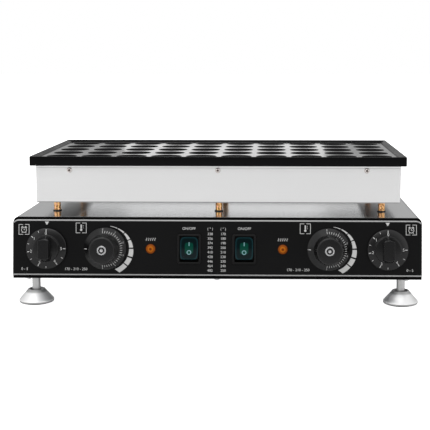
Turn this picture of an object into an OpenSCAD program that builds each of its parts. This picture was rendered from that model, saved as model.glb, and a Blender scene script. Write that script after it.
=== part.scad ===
// Electric poffertjes maker for a counter: a cast plate of round cups on a heater box,
// held by six posts above a control body on four adjustable feet.
// Millimetres. X runs to the right, Y to the back and Z up. The counter is at height zero.

/* [Body] */
// Width of the control body
body_w = 480; // [450:1:540]
// Depth of the body's top, from the panel's top edge to the rear panel
body_d = 258; // [250:1:300]
// Height of the body, without its feet
body_h = 71.8; // [68:0.2:90]
// Height of the body's underside above the counter
ground_clear = 35.3; // [32:0.1:45]
// Outer radius of the cover's two long bends
body_bend_r = 6; // [3:0.5:10]
// Thickness of the body's sheet metal
body_sheet = 1; // [0.8:0.1:1.5]
// How far the panel's top edge leans back from its bottom edge
lean_run = 8; // [0:0.5:14]
// Thickness of the coated front panel
panel_t = 2; // [1.5:0.1:3]
// Thickness of the control plate on the panel
control_t = 1.5; // [1:0.1:2.5]

/* [Heater box] */
// How far the heater box's sides stand in from the body's sides
box_side_in = 22; // [14:0.5:28]
// How far the heater box's rear stands in from the body's rear
box_rear_in = 12; // [8:0.5:20]
// Height of the heater box
box_h = 44.6; // [42:0.2:60]
// Clear height between the body and the heater box
box_gap = 13.8; // [10:0.2:30]
// How far the heater box stands back from the panel's top edge
box_setback = 24; // [15:1:28]
// Thickness of the heater box's sheet metal
box_sheet = 1; // [0.8:0.1:1.5]
// Width of the flange round the heater box's underside
box_flange = 36; // [32:1:44]

/* [Baking plate] */
// Number of cups from left to right
cup_columns = 10; // [8:1:11]
// Number of cups from front to back
cup_rows = 5; // [4:1:6]
// Narrowest land between two cups
cup_gap = 4.6; // [3:0.2:8]
// Depth of a cup below the land
cup_depth = 8; // [6:0.2:9]
// Metal under the bottom of a cup
cup_floor = 2.6; // [2:0.1:4]
// How far the plate stands out past the heater box
plate_overhang = 6.2; // [3:0.2:12]
// Height of the plate's outer edge
plate_edge_h = 11.2; // [10.6:0.1:14]
// Distance from the plate's edge to the first column of cups
plate_margin = 11; // [8:0.2:16]
// Depth of the land below the rim's top
land_drop = 2.6; // [1.6:0.1:4]
// Width of the rim's upper step
rim_step_w = 3; // [2:0.1:4]

/* [Controls] */
// Distance of each timer's axis from the body's side
timer_in = 40; // [39.5:0.1:43]
// Distance of each thermostat from the middle, as a share of the body's width
thermostat_share = 0.2729; // [0.267:0.0001:0.278]
// Distance of each pilot lamp from the middle, as a share of the body's width
lamp_share = 0.16146; // [0.147:0.0001:0.174]
// Distance of each power switch from the middle, as a share of the body's width
switch_share = 0.0673; // [0.063:0.0001:0.082]
// Diameter of the timer knob's skirt
timer_knob_d = 48; // [44:0.5:50]
// Diameter of the temperature knob's dial ring
dial_d = 49.6; // [46:0.2:52]
// How far the timer knobs stand out from the control plate
timer_knob_h = 21.5; // [18:0.5:26]
// How far the temperature knobs stand out from the control plate
temp_knob_h = 28; // [24:0.5:31]
// Diameter of a control shaft
shaft_d = 6; // [5:0.1:7]
// Width of a switch bezel
bezel_w = 28; // [27:0.5:30]
// Height of a switch bezel
bezel_l = 35; // [34:0.5:38]
// Tilt of a rocker to each side of its middle
rocker_tilt = 10; // [6:0.5:11]
// Diameter of a lamp lens
lens_d = 12.4; // [12:0.2:16]

/* [Posts and feet] */
// Diameter of a post between the body and the heater box
post_d = 8.3; // [8:0.1:10]
// Distance of the outer posts from the heater box's sides
post_inset_x = 20; // [17:0.5:24]
// Distance of the posts from the heater box's front and rear
post_inset_y = 25; // [17:0.5:27]
// Largest diameter of a foot's bell
foot_d = 41.5; // [38:0.5:50]
// Height of a foot's bell above the counter
foot_bell_h = 17; // [14:0.5:20]
// Diameter of a foot's threaded stem
stem_d = 10; // [8:0.5:11]
// Distance of a foot's axis from the body's side
foot_inset_x = 21; // [20.8:0.1:23]
// Distance of a front foot's axis from the panel's top edge
foot_inset_y = 19; // [18:0.5:30]

/* [Hidden] */
$fn = 64;

// Clearances: a running fit, a bolt in its hole, a sheet beside a sheet, and two pieces that only rest near
run_clear = 0.05;
bolt_clear = 0.2;
sheet_clear = 0.1;
seat_gap = 0.3;
overrun = 1;

// Heights
base_z = ground_clear;
top_z = base_z + body_h;
box_z = top_z + box_gap;
plate_z = box_z + box_h;
plate_top_z = plate_z + plate_edge_h;

// Panel, seen square on: it starts at the top edge and runs down the lean
panel_lean = atan(lean_run / body_h);
panel_len = sqrt(body_h * body_h + lean_run * lean_run);
panel_stack = panel_t + control_t;
flange_d = 12;
control_row_share = 0.512;

// The controls' distances from the middle
timer_x = body_w / 2 - timer_in;
thermostat_x = thermostat_share * body_w;
lamp_x = lamp_share * body_w;
switch_x = switch_share * body_w;

// The cable gland at the rear
gland_share = 0.3125;
gland_x = gland_share * body_w;
gland_z = base_z + body_h / 2;
gland_cap_d = 21;
gland_mouth_d = 14;
gland_neck_d = 16;
gland_bore_d = 8;
gland_reach = 14;
gland_inside = 12;
gland_nut_af = 22;
gland_nut_h = 5;

// Knob shapes, measured along the shaft from the control plate
knob_gap = 1.5;
timer_skirt_h = 2.4;
timer_bevel_h = 1.6;
timer_boss_d = 31;
timer_boss_h = 2.4;
timer_grip_w = 12.4;
timer_grip_d = 23.6;
dial_h = 9;
dial_edge = 1;
grip_foot_d = 34.8;
grip_top_d = 30.8;
grip_round = 2;
cap_d = 10.6;
cap_t = 1;
cap_sink = 0.6;
knob_bore = 13;

// Places from front to back, with the whole object centred
knob_low = control_row_share * panel_len + grip_top_d / 2 - grip_round;
front_reach = (control_t + temp_knob_h) * cos(panel_lean) + knob_low * sin(panel_lean);
overall_d = front_reach + body_d + gland_reach;
panel_top_y = front_reach - overall_d / 2;
panel_bottom_y = panel_top_y - lean_run;
rear_y = panel_top_y + body_d;
box_w = body_w - 2 * box_side_in;
box_d = body_d - box_setback - box_rear_in;
box_front_y = panel_top_y + box_setback;
box_mid_y = box_front_y + box_d / 2;
box_rear_y = box_front_y + box_d;

// Baking plate
plate_w = box_w + 2 * plate_overhang;
plate_d = box_d + 2 * plate_overhang;
cup_pitch_x = (plate_w - 2 * plate_margin) / cup_columns;
cup_pitch_y = (plate_d - 2 * plate_margin) / cup_rows;
cup_d = min(cup_pitch_x, cup_pitch_y) - cup_gap;
cup_sphere_r = (cup_d * cup_d / 4 + cup_depth * cup_depth) / (2 * cup_depth);
land_z = plate_top_z - land_drop;
plate_corner_r = 1.6;
rim_step_h = land_drop / 2;
slab_z = land_z - cup_depth - cup_floor;
slab_inset = 1;

// Screws through the heater box's walls into the plate's lugs
box_corner_r = 2;
box_screw_in = 40.5;
box_screw_x = box_w / 2 - box_screw_in;
box_screw_drop = 5.6;
box_screw_d = 4;
box_screw_head_d = 6.6;
box_screw_head_h = 2.4;
box_screw_len = 9;
lug_w = 14;
lug_d = 9;
lug_h = 10;

// Tubular heating elements under the plate
element_d = 6.6;
element_z = slab_z - seat_gap - element_d / 2;
element_first_x = 26;
element_side = 42;
element_runs = 4;
element_pitch = (box_w / 2 - element_side - element_first_x) / (element_runs - 1);
element_mid_x = element_first_x + (element_runs - 1) * element_pitch / 2;
element_end = 16;
element_half = box_d / 2 - element_end - element_pitch / 2;
stud_d = 3.4;
stud_len = 9;
stud_end_in = 18;
stud_end_y = box_rear_y - stud_end_in;
element_tail = stud_end_y - box_mid_y - stud_len - element_half;

// Clamp bars, their bosses on the plate and their screws
clamp_share = 4 / 7;
clamp_y = clamp_share * element_half;
clamp_w = 14;
clamp_t = 2;
clamp_end = 8;
boss_d = 11;
clamp_screw_d = 5;
clamp_screw_grip = 6;
clamp_head_af = 8;
clamp_head_h = 3.5;
clamp_top_z = element_z - element_d / 2 - seat_gap;

// Insulation and shield on the heater box's floor
floor_z = box_z + box_sheet;
floor_top_z = floor_z + box_sheet;
pad_side = 28;
pad_front = 41;
pad_t = 14;
shield_t = 0.8;
shield_lip = 6;
shield_margin = 6;

// Posts
post_x = box_w / 2 - post_inset_x;
front_post_y = box_front_y + post_inset_y;
rear_post_y = box_rear_y - post_inset_y;
post_thread_d = 6.4;
post_bore_d = 4.6;
post_below = 8;
post_above = 7;
post_low_z = top_z - post_below;
post_len = post_below + box_gap + 2 * box_sheet + post_above;
post_nut_af = 10;
post_nut_h = 5;
washer_d = 10.5;
washer_t = 1;

// Sensors and leads, which pass through the hollow rear posts
bulb_d = 6;
bulb_z = clamp_top_z + seat_gap + bulb_d / 2;
bulb_share = 0.657;
bulb_half = bulb_share * element_half;
capillary_d = 1.5;
lead_d = 1.8;
lead_line_y = stud_end_y + lead_d / 2 + sheet_clear;
capillary_rise = 26;
outer_lead_rise = 22;
inner_lead_rise = 18;
capillary_z = floor_top_z + capillary_rise;
outer_lead_z = floor_top_z + outer_lead_rise;
inner_lead_z = floor_top_z + inner_lead_rise;
lead_spread = 1.05;
capillary_drop = 22;
lead_drop = 30;
capillary_low_z = top_z - capillary_drop;
lead_low_z = top_z - lead_drop;
lead_step = 5.4;
tail_spread = 7;

// Body screws
body_screw_side_in = 17;
body_screw_x = body_w / 2 - body_screw_side_in;
body_screw_d = 4;
body_screw_head_d = 7;
body_screw_head_h = 3;
body_screw_len = 8;
body_screw_in = 5.5;

// Vent slots in the rear panel and the bottom plate
slot_w = 3;
slot_l = 32;
slot_pitch = 9;
rear_slots = 9;
rear_slot_share = 0.198;
rear_slot_x = -rear_slot_share * body_w;
floor_slots = 11;
floor_slot_share = 0.28125;
floor_slot_x = floor_slot_share * body_w;
floor_slot_y = 15;

// Control plate's outline: bands of the coated panel stay bare above and below it
control_top = 2.5;
control_bottom = 3.3;
control_corner_w = 8;
control_corner_h = 4.2;
control_bevel = 1.2;
control_bevel_depth = 1;

// Timers and thermostats behind the panel
bush_d = 9;
bush_proud = 0.8;
shaft_hold = 14;
timer_w = 26;
timer_h = 42;
timer_depth = 27;
thermostat_w = 40;
thermostat_h = 36;
thermostat_depth = 24;
fixing_spread = 13.5;
fixing_d = 3;
fixing_head_d = 5.6;
fixing_head_h = 1;
fixing_len = 8;

// Rocker switches
bezel_r = 3;
bezel_h = 2.2;
switch_wall = 1.5;
well_w = 22.2;
well_l = 30;
well_depth = 10;
switch_w = well_w + 2 * switch_wall;
switch_l = well_l + 2 * switch_wall;
switch_r = 1;
switch_depth = 24;
pivot_d = 3;
pivot_reach = 1.2;
pivot_drop = 4;
rocker_side_gap = 0.4;
rocker_half = 13.2;
rocker_rise = 7.4;
rocker_valley = 5.8;
rocker_back = 1.5;
blade_w = 6.3;
blade_t = 0.8;
blade_l = 8;
blade_y = 10;

// Lamps
lamp_body_d = 10.4;
lamp_bore_d = 8.8;
lamp_depth = 22;
lens_neck_d = 8.7;
lens_neck_l = 7;
lens_edge_h = 1;
lens_dome_h = 2.4;
lens_shoulder_share = 0.36;
lens_flat_share = 0.18;
lens_slope_share = 0.7;
lamp_nut_d = 14.4;
lamp_nut_h = 3;

// Feet
foot_pad_d = 32;
foot_pad_t = 3;
foot_pad_proud = 1.2;
foot_edge_z = 3;
foot_edge_h = 1.4;
foot_edge_in = 1.6;
foot_collar_d = 20;
foot_nut_af = 17;
foot_nut_h = 8;
foot_stem_over = 8;
foot_x = body_w / 2 - foot_inset_x;
front_foot_y = panel_top_y + foot_inset_y;
rear_foot_inset = 29;
rear_foot_y = rear_y - rear_foot_inset;

// Terminal block on the bottom plate
block_l = 62;
block_w = 22;
block_base_h = 8;
block_rib_h = 14;
block_rib_w = 2.4;
block_poles = 4;
block_screw_d = 4;
block_x = gland_x;
block_rear_in = 62;
block_y = rear_y - block_rear_in;
loom_d = 6;
loom_z = base_z + body_sheet + seat_gap + loom_d / 2;
loom_end_z = base_z + body_h / 2;
loom_end_inset = 40;

// Shared shapes

// A flat rectangle with round corners, about its middle
module rounded_rect(w, h, r) {
    square([w - 2 * r, h], center = true);
    square([w, h - 2 * r], center = true);
    for (sx = [-1, 1], sy = [-1, 1]) translate([sx * (w / 2 - r), sy * (h / 2 - r)]) circle(r);
}

// A flat outline with a straight foot and two round upper corners
module arch_outline(w, h, r) {
    translate([-w / 2, 0]) square([w, h - r]);
    translate([r - w / 2, 0]) square([w - 2 * r, h]);
    for (s = [-1, 1]) translate([s * (w / 2 - r), h - r]) circle(r);
}

// Carries a flat outline from front to back
module along_y(y0, y1) {
    translate([0, y1, 0]) rotate([90, 0, 0]) linear_extrude(y1 - y0) children();
}

// Carries a flat outline of depth and height from left to right
module along_x(x0, x1) {
    translate([x0, 0, 0]) rotate([90, 0, 90]) linear_extrude(x1 - x0) children();
}

// A slot with round ends, upright on the flat
module slot_outline() {
    square([slot_w, slot_l - slot_w], center = true);
    for (s = [-1, 1]) translate([0, s * (slot_l - slot_w) / 2]) circle(d = slot_w);
}

module hexagon(af, h) {
    cylinder(d = af / cos(30), h = h, $fn = 6);
}

// A straight round run from one point to another, and a wire with a small bead at each corner
module wire_run(a, b, d) {
    v = b - a;
    l = norm(v);
    translate(a) rotate([0, acos(v.z / l), atan2(v.y, v.x)]) cylinder(d = d, h = l);
}

module wire(points, d) {
    for (i = [0 : len(points) - 2]) wire_run(points[i], points[i + 1], d);
    for (i = [1 : len(points) - 2]) translate(points[i]) sphere(d = d + 2 * run_clear);
}

// Frames of reference

// The panel's own frame: X to the right, Y into the body, Z up the lean, zero at the top edge
module on_panel() {
    translate([0, panel_top_y, top_z]) rotate([-panel_lean, 0, 0]) children();
}

// A control's frame: Z stands out of the control plate, Y runs up the panel
module at_control(x) {
    on_panel() translate([x, -control_t, -control_row_share * panel_len]) rotate([90, 0, 0]) children();
}

// Everything in front of a plane that lies this deep behind the panel's face
module before_panel(depth) {
    on_panel() translate([-body_w, depth - body_h, -2 * panel_len]) cube([2 * body_w, body_h, 3 * panel_len]);
}

module front_post_places() {
    for (x = [-post_x, 0, post_x]) translate([x, front_post_y, 0]) children();
}

module rear_post_places() {
    for (x = [-post_x, 0, post_x]) translate([x, rear_post_y, 0]) children();
}

module post_places() {
    front_post_places() children();
    rear_post_places() children();
}

module foot_places() {
    for (s = [-1, 1], y = [front_foot_y, rear_foot_y]) translate([s * foot_x, y, 0]) children();
}

module clamp_screw_places() {
    for (s = [-1, 1], i = [0.5, element_runs - 1.5], y = [-clamp_y, clamp_y])
        translate([s * (element_first_x + i * element_pitch), box_mid_y + y, 0]) children();
}

// The heater box's screws, each along its own Z into the wall
module box_screw_places() {
    for (x = [-box_screw_x, 0, box_screw_x]) {
        translate([x, box_front_y, plate_z - box_screw_drop]) rotate([-90, 0, 0]) children();
        translate([x, box_rear_y, plate_z - box_screw_drop]) rotate([90, 0, 0]) children();
    }
}

module body_screw_places() {
    for (x = [-body_screw_x, 0, body_screw_x], y = [panel_bottom_y + panel_t + body_screw_in, rear_y - body_screw_in])
        translate([x, y, base_z]) children();
}

module fixing_places() {
    for (s = [-1, 1], v = [-1, 1]) {
        at_control(s * timer_x) translate([0, v * fixing_spread, 0]) children();
        at_control(s * thermostat_x) translate([v * fixing_spread, 0, 0]) children();
    }
}

// Heater box and what it carries

module plate_block(inset, z0, z1) {
    translate([0, box_mid_y, z0]) linear_extrude(z1 - z0)
        rounded_rect(plate_w - 2 * inset, plate_d - 2 * inset, plate_corner_r);
}

module baking_plate() {
    slab_w = box_w - 2 * box_sheet - 2 * slab_inset;
    slab_d = box_d - 2 * box_sheet - 2 * slab_inset;
    color("dimgray") difference() {
        union() {
            plate_block(0, plate_z, plate_top_z);
            translate([-slab_w / 2, box_mid_y - slab_d / 2, slab_z]) cube([slab_w, slab_d, plate_z - slab_z + overrun]);
            clamp_screw_places() translate([0, 0, clamp_top_z])
                cylinder(d = boss_d, h = slab_z - clamp_top_z + overrun);
            box_screw_places() translate([-lug_w / 2, -lug_h / 2, box_sheet + sheet_clear]) cube([lug_w, lug_h, lug_d]);
        }
        plate_block(rim_step_w, plate_top_z - rim_step_h, plate_top_z + overrun);
        plate_block(2 * rim_step_w, land_z, plate_top_z + overrun);
        for (i = [0 : cup_columns - 1], j = [0 : cup_rows - 1])
            translate([(i - (cup_columns - 1) / 2) * cup_pitch_x, box_mid_y + (j - (cup_rows - 1) / 2) * cup_pitch_y,
                land_z - cup_depth + cup_sphere_r]) sphere(r = cup_sphere_r);
        clamp_screw_places() translate([0, 0, clamp_top_z - overrun])
            cylinder(d = clamp_screw_d, h = clamp_screw_grip + overrun);
        box_screw_places() cylinder(d = box_screw_d, h = box_screw_len);
    }
}

module heater_box() {
    color("gainsboro") difference() {
        translate([0, box_mid_y, box_z]) linear_extrude(box_h) rounded_rect(box_w, box_d, box_corner_r);
        translate([0, box_mid_y, floor_z]) linear_extrude(box_h)
            rounded_rect(box_w - 2 * box_sheet, box_d - 2 * box_sheet, box_corner_r - box_sheet);
        translate([0, box_mid_y, box_z - overrun]) linear_extrude(box_sheet + 2 * overrun)
            square([box_w - 2 * box_flange, box_d - 2 * box_flange], center = true);
        post_places() translate([0, 0, box_z - overrun])
            cylinder(d = post_thread_d + 2 * bolt_clear, h = box_sheet + 2 * overrun);
        box_screw_places() translate([0, 0, -overrun])
            cylinder(d = box_screw_d + 2 * bolt_clear, h = box_sheet + 2 * overrun);
    }
}

module heater_box_floor() {
    color("silver") difference() {
        translate([0, box_mid_y, floor_z]) linear_extrude(box_sheet)
            square([box_w - 2 * box_sheet - 2 * sheet_clear - box_corner_r,
                box_d - 2 * box_sheet - 2 * sheet_clear - box_corner_r], center = true);
        post_places() translate([0, 0, floor_z - overrun])
            cylinder(d = post_thread_d + 2 * bolt_clear, h = box_sheet + 2 * overrun);
    }
}

module heater_box_screws() {
    color("rosybrown") box_screw_places() {
        translate([0, 0, -box_screw_head_h]) rotate_extrude() intersection() {
            square([box_screw_head_d / 2, box_screw_head_h]);
            translate([0, box_screw_head_d - box_screw_head_h / 2]) circle(r = box_screw_head_d - box_screw_head_h / 2);
        }
        cylinder(d = box_screw_d, h = box_screw_len);
    }
}

module element_bend() {
    rotate_extrude(angle = 180) translate([element_pitch / 2, 0]) circle(d = element_d);
}

module heating_element(side) {
    color("slategray") translate([0, box_mid_y, element_z]) {
        for (i = [0 : element_runs - 1]) {
            tail = (i == 0 || i == element_runs - 1) ? element_tail : 0;
            translate([side * (element_first_x + i * element_pitch), -element_half, 0])
                rotate([-90, 0, 0]) cylinder(d = element_d, h = 2 * element_half + tail);
        }
        for (i = [0 : element_runs - 2]) {
            back = i % 2;
            translate([side * (element_first_x + (i + 0.5) * element_pitch), (2 * back - 1) * element_half, 0])
                rotate([0, 0, 180 * (1 - back)]) element_bend();
        }
        for (i = [0, element_runs - 1]) translate([side * (element_first_x + i * element_pitch), element_half, 0])
            rotate([-90, 0, 0]) cylinder(d = stud_d, h = element_tail + stud_len);
    }
}

module element_clamps() {
    color("darkgray") difference() {
        for (s = [-1, 1], y = [-clamp_y, clamp_y])
            translate([s * element_mid_x, box_mid_y + y, clamp_top_z - clamp_t / 2])
                cube([(element_runs - 1) * element_pitch + 2 * clamp_end, clamp_w, clamp_t], center = true);
        clamp_screw_places() translate([0, 0, clamp_top_z - clamp_t - overrun])
            cylinder(d = clamp_screw_d + 2 * bolt_clear, h = clamp_t + 2 * overrun);
    }
}

module element_clamp_screws() {
    color("silver") clamp_screw_places() translate([0, 0, clamp_top_z - clamp_t]) {
        translate([0, 0, -clamp_head_h]) hexagon(clamp_head_af, clamp_head_h);
        cylinder(d = clamp_screw_d, h = clamp_t + clamp_screw_grip - seat_gap);
    }
}

module insulation_pad() {
    color("ivory") translate([0, box_mid_y, floor_top_z + pad_t / 2])
        cube([box_w - 2 * pad_side - 2 * post_inset_x, box_d - 2 * pad_front, pad_t], center = true);
}

module heat_shield() {
    shield_w = box_w - 2 * pad_side - 2 * post_inset_x + 2 * shield_margin;
    shield_d = box_d - 2 * pad_front + 2 * shield_margin;
    color("lightgray") translate([0, box_mid_y, floor_top_z + pad_t]) difference() {
        linear_extrude(shield_lip) square([shield_w, shield_d], center = true);
        translate([0, 0, shield_t]) linear_extrude(shield_lip)
            square([shield_w - 2 * shield_t, shield_d - 2 * shield_t], center = true);
    }
}

// A sensing bulb between two runs of tube, and its capillary down to the thermostat
module sensor_bulb(side) {
    bulb_x = side * element_mid_x;
    bulb_end_y = box_mid_y + bulb_half;
    color("peru") {
        translate([bulb_x, box_mid_y - bulb_half, bulb_z]) rotate([-90, 0, 0]) cylinder(d = bulb_d, h = 2 * bulb_half);
        wire([[bulb_x, bulb_end_y - bulb_d, bulb_z], [bulb_x, bulb_end_y + bulb_d, bulb_z],
            [bulb_x, bulb_end_y + bulb_d, capillary_z], [bulb_x, rear_post_y, capillary_z],
            [side * lead_spread, rear_post_y, capillary_z], [side * lead_spread, rear_post_y, capillary_low_z],
            [side * (thermostat_x - tail_spread), rear_post_y, capillary_low_z],
            [side * (thermostat_x - tail_spread), thermostat_back_y(capillary_low_z), capillary_low_z]], capillary_d);
    }
}

// Just behind the back of a thermostat's case at a given height
function thermostat_back_y(z) = panel_top_y + (panel_t + thermostat_depth + seat_gap) / cos(panel_lean)
    - (top_z - z) * tan(panel_lean);

// Two leads from an element's studs, down through the outer rear post, to the thermostat
module element_leads(side) {
    outer_x = side * (element_first_x + (element_runs - 1) * element_pitch);
    inner_x = side * element_first_x;
    color("white") {
        for (lead = [[outer_x, outer_lead_z, 1, lead_low_z - lead_step], [inner_x, inner_lead_z, -1, lead_low_z]]) {
            post_line_x = side * post_x + side * lead[2] * lead_spread;
            tail_x = side * (thermostat_x + tail_spread) + side * lead[2] * lead_d;
            wire([[lead[0], lead_line_y, element_z], [lead[0], lead_line_y, lead[1]],
                [post_line_x, lead_line_y, lead[1]],
                [post_line_x, rear_post_y, lead[1]], [post_line_x, rear_post_y, lead[3]],
                [tail_x, rear_post_y, lead[3]], [tail_x, thermostat_back_y(lead[3]), lead[3]]], lead_d);
        }
    }
}

// Posts between the body and the heater box

module post() {
    difference() {
        union() {
            translate([0, 0, top_z + washer_t]) cylinder(d = post_d, h = box_gap - washer_t);
            translate([0, 0, post_low_z]) cylinder(d = post_thread_d, h = post_len);
        }
        translate([0, 0, post_low_z - overrun]) cylinder(d = post_bore_d, h = post_len + 2 * overrun);
    }
}

module front_posts() {
    color("goldenrod") front_post_places() post();
}

module rear_posts() {
    color("goldenrod") rear_post_places() post();
}

module post_washers() {
    color("darkgray") post_places() translate([0, 0, top_z]) difference() {
        cylinder(d = washer_d, h = washer_t);
        translate([0, 0, -overrun]) cylinder(d = post_thread_d + 2 * bolt_clear, h = washer_t + 2 * overrun);
    }
}

module post_nuts() {
    color("goldenrod") post_places() difference() {
        union() {
            translate([0, 0, top_z - body_sheet - post_nut_h]) hexagon(post_nut_af, post_nut_h);
            translate([0, 0, floor_top_z]) hexagon(post_nut_af, post_nut_h);
        }
        translate([0, 0, post_low_z - overrun]) cylinder(d = post_thread_d, h = post_len + 2 * overrun);
    }
}

// Body

module body_cover() {
    color("gainsboro") difference() {
        translate([0, 0, base_z]) along_y(panel_bottom_y, rear_y) difference() {
            arch_outline(body_w, body_h, body_bend_r);
            translate([0, -overrun])
                arch_outline(body_w - 2 * body_sheet, body_h - body_sheet + overrun, body_bend_r - body_sheet);
        }
        before_panel(panel_t);
        post_places() translate([0, 0, top_z - body_sheet - overrun])
            cylinder(d = post_thread_d + 2 * bolt_clear, h = body_sheet + 2 * overrun);
    }
}

module rear_panel() {
    outer_w = body_w - 2 * body_sheet - 2 * sheet_clear;
    outer_h = body_h - 2 * body_sheet - sheet_clear;
    outer_r = body_bend_r - body_sheet;
    color("silver") difference() {
        translate([0, 0, base_z + body_sheet]) along_y(rear_y - flange_d, rear_y)
            arch_outline(outer_w, outer_h, outer_r);
        translate([0, 0, base_z + 2 * body_sheet]) along_y(rear_y - flange_d - overrun, rear_y - body_sheet)
            arch_outline(outer_w - 2 * body_sheet, outer_h - 2 * body_sheet, outer_r - body_sheet);
        for (i = [0 : rear_slots - 1])
            translate([rear_slot_x + (i - (rear_slots - 1) / 2) * slot_pitch, 0, gland_z])
                along_y(rear_y - body_sheet - overrun, rear_y + overrun) slot_outline();
        translate([gland_x, rear_y - body_sheet - overrun, gland_z]) rotate([-90, 0, 0])
            cylinder(d = gland_neck_d + 2 * bolt_clear, h = body_sheet + 2 * overrun);
        body_screw_places() cylinder(d = body_screw_d, h = body_screw_len + overrun);
    }
}

module bottom_plate() {
    outer_w = body_w - 2 * body_sheet - 2 * sheet_clear;
    color("silver") difference() {
        union() {
            translate([-outer_w / 2, panel_bottom_y, base_z]) cube([outer_w, body_d + lean_run, body_sheet]);
            for (s = [-1, 1])
                translate([s * (outer_w - body_sheet) / 2, (front_foot_y + rear_foot_y) / 2, base_z + flange_d / 2])
                    cube([body_sheet, rear_foot_y - front_foot_y, flange_d], center = true);
        }
        before_panel(panel_t + sheet_clear);
        foot_places() translate([0, 0, base_z - overrun])
            cylinder(d = stem_d + 2 * bolt_clear, h = body_sheet + 2 * overrun);
        body_screw_places() translate([0, 0, -overrun])
            cylinder(d = body_screw_d + 2 * bolt_clear, h = body_sheet + 2 * overrun);
        for (s = [-1, 0, 1], i = [0 : floor_slots - 1])
            translate([s * floor_slot_x + (i - (floor_slots - 1) / 2) * slot_pitch, box_mid_y + floor_slot_y, 0])
                translate([0, 0, base_z - overrun]) linear_extrude(body_sheet + 2 * overrun) slot_outline();
    }
}

// Holes that every layer of the panel shares
module panel_holes() {
    depth = panel_stack + 2 * overrun;
    for (s = [-1, 1]) {
        for (x = [timer_x, thermostat_x]) at_control(s * x) translate([0, 0, -panel_stack - overrun])
            cylinder(d = bush_d + 2 * bolt_clear, h = depth);
        at_control(s * lamp_x) translate([0, 0, -panel_stack - overrun])
            cylinder(d = lamp_body_d + 2 * bolt_clear, h = depth);
        at_control(s * switch_x) translate([0, 0, -panel_stack - overrun]) linear_extrude(depth)
            rounded_rect(switch_w + 2 * bolt_clear, switch_l + 2 * bolt_clear, switch_r);
    }
    fixing_places() translate([0, 0, -panel_stack - overrun]) cylinder(d = fixing_d + 2 * bolt_clear, h = depth);
}

module front_panel() {
    flange_w = body_w - 2 * flange_d;
    color("#202022") difference() {
        union() {
            on_panel() intersection() {
                along_x(-body_w / 2, body_w / 2) difference() {
                    translate([0, -panel_len]) square([panel_t, panel_len]);
                    for (z = [0, -panel_len]) translate([0, z]) rotate(45)
                        square(panel_t / 2, center = true);
                }
                translate([0, 0, -panel_len]) along_y(-overrun, panel_t + overrun)
                    arch_outline(body_w, panel_len, body_bend_r);
            }
            difference() {
                union() {
                    translate([-flange_w / 2, panel_top_y, top_z - 2 * body_sheet - sheet_clear])
                        cube([flange_w, flange_d, body_sheet]);
                    translate([-flange_w / 2, panel_bottom_y, base_z + body_sheet])
                        cube([flange_w, flange_d, body_sheet]);
                }
                before_panel(panel_t / 2);
            }
        }
        panel_holes();
        body_screw_places() cylinder(d = body_screw_d, h = body_screw_len + overrun);
    }
}

// The control plate's outline has quarter-ellipse upper corners
function control_outline() = let (w = body_w / 2, z0 = control_bottom - panel_len, z1 = -control_top) concat(
    [[-w, z0], [w, z0]],
    [for (a = [0 : 15 : 90]) [w - control_corner_w * (1 - cos(a)), z1 - control_corner_h * (1 - sin(a))]],
    [for (a = [90 : -15 : 0]) [-w + control_corner_w * (1 - cos(a)), z1 - control_corner_h * (1 - sin(a))]]);

module control_plate() {
    z0 = control_bottom - panel_len;
    z1 = -control_top;
    face = -control_t;
    shoulder = control_bevel_depth - control_t;
    color("#151517") difference() {
        on_panel() intersection() {
            along_x(-body_w / 2, body_w / 2) polygon([[0, z0], [0, z1], [shoulder, z1], [face, z1 - control_bevel],
                [face, z0 + control_bevel], [shoulder, z0]]);
            along_y(-control_t, 0) polygon(control_outline());
        }
        panel_holes();
    }
}

module body_screws() {
    color("darkgray") body_screw_places() {
        translate([0, 0, -body_screw_head_h]) cylinder(d = body_screw_head_d, h = body_screw_head_h);
        cylinder(d = body_screw_d, h = body_screw_len);
    }
}

// Feet

module foot(side, y) {
    r = foot_d / 2;
    color("lightgray") translate([side * foot_x, y, 0]) {
        rotate_extrude() polygon([[0, foot_pad_t], [foot_pad_d / 2, foot_pad_t], [foot_pad_d / 2, foot_pad_proud],
            [r - foot_edge_in, foot_pad_proud], [r, foot_edge_z], [r, foot_edge_z + foot_edge_h],
            [foot_collar_d / 2, foot_bell_h], [0, foot_bell_h]]);
        translate([0, 0, foot_bell_h - overrun])
            cylinder(d = stem_d, h = base_z + body_sheet + foot_nut_h + foot_stem_over - foot_bell_h + overrun);
    }
}

module foot_pad(side, y) {
    color("#1c1c1c") translate([side * foot_x, y, 0]) cylinder(d = foot_pad_d, h = foot_pad_t);
}

module foot_nuts() {
    color("silver") foot_places() translate([0, 0, base_z + body_sheet]) difference() {
        hexagon(foot_nut_af, foot_nut_h);
        translate([0, 0, -overrun]) cylinder(d = stem_d + 2 * run_clear, h = foot_nut_h + 2 * overrun);
    }
}

// Controls

// A case behind the panel with a bush for its shaft
module control_case(w, h, depth) {
    difference() {
        union() {
            translate([-w / 2, -h / 2, -panel_stack - depth]) cube([w, h, depth]);
            translate([0, 0, -panel_stack]) cylinder(d = bush_d, h = panel_stack + bush_proud);
        }
        translate([0, 0, -panel_stack - shaft_hold])
            cylinder(d = shaft_d + 2 * run_clear, h = shaft_hold + panel_stack + 2 * overrun);
        children();
    }
}

module timer(side) {
    color("whitesmoke") at_control(side * timer_x) control_case(timer_w, timer_h, timer_depth)
        for (v = [-1, 1]) translate([0, v * fixing_spread, -fixing_len]) cylinder(d = fixing_d, h = fixing_len);
}

module thermostat(side) {
    color("tan") at_control(side * thermostat_x) control_case(thermostat_w, thermostat_h, thermostat_depth)
        for (v = [-1, 1]) translate([v * fixing_spread, 0, -fixing_len]) cylinder(d = fixing_d, h = fixing_len);
}

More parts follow.
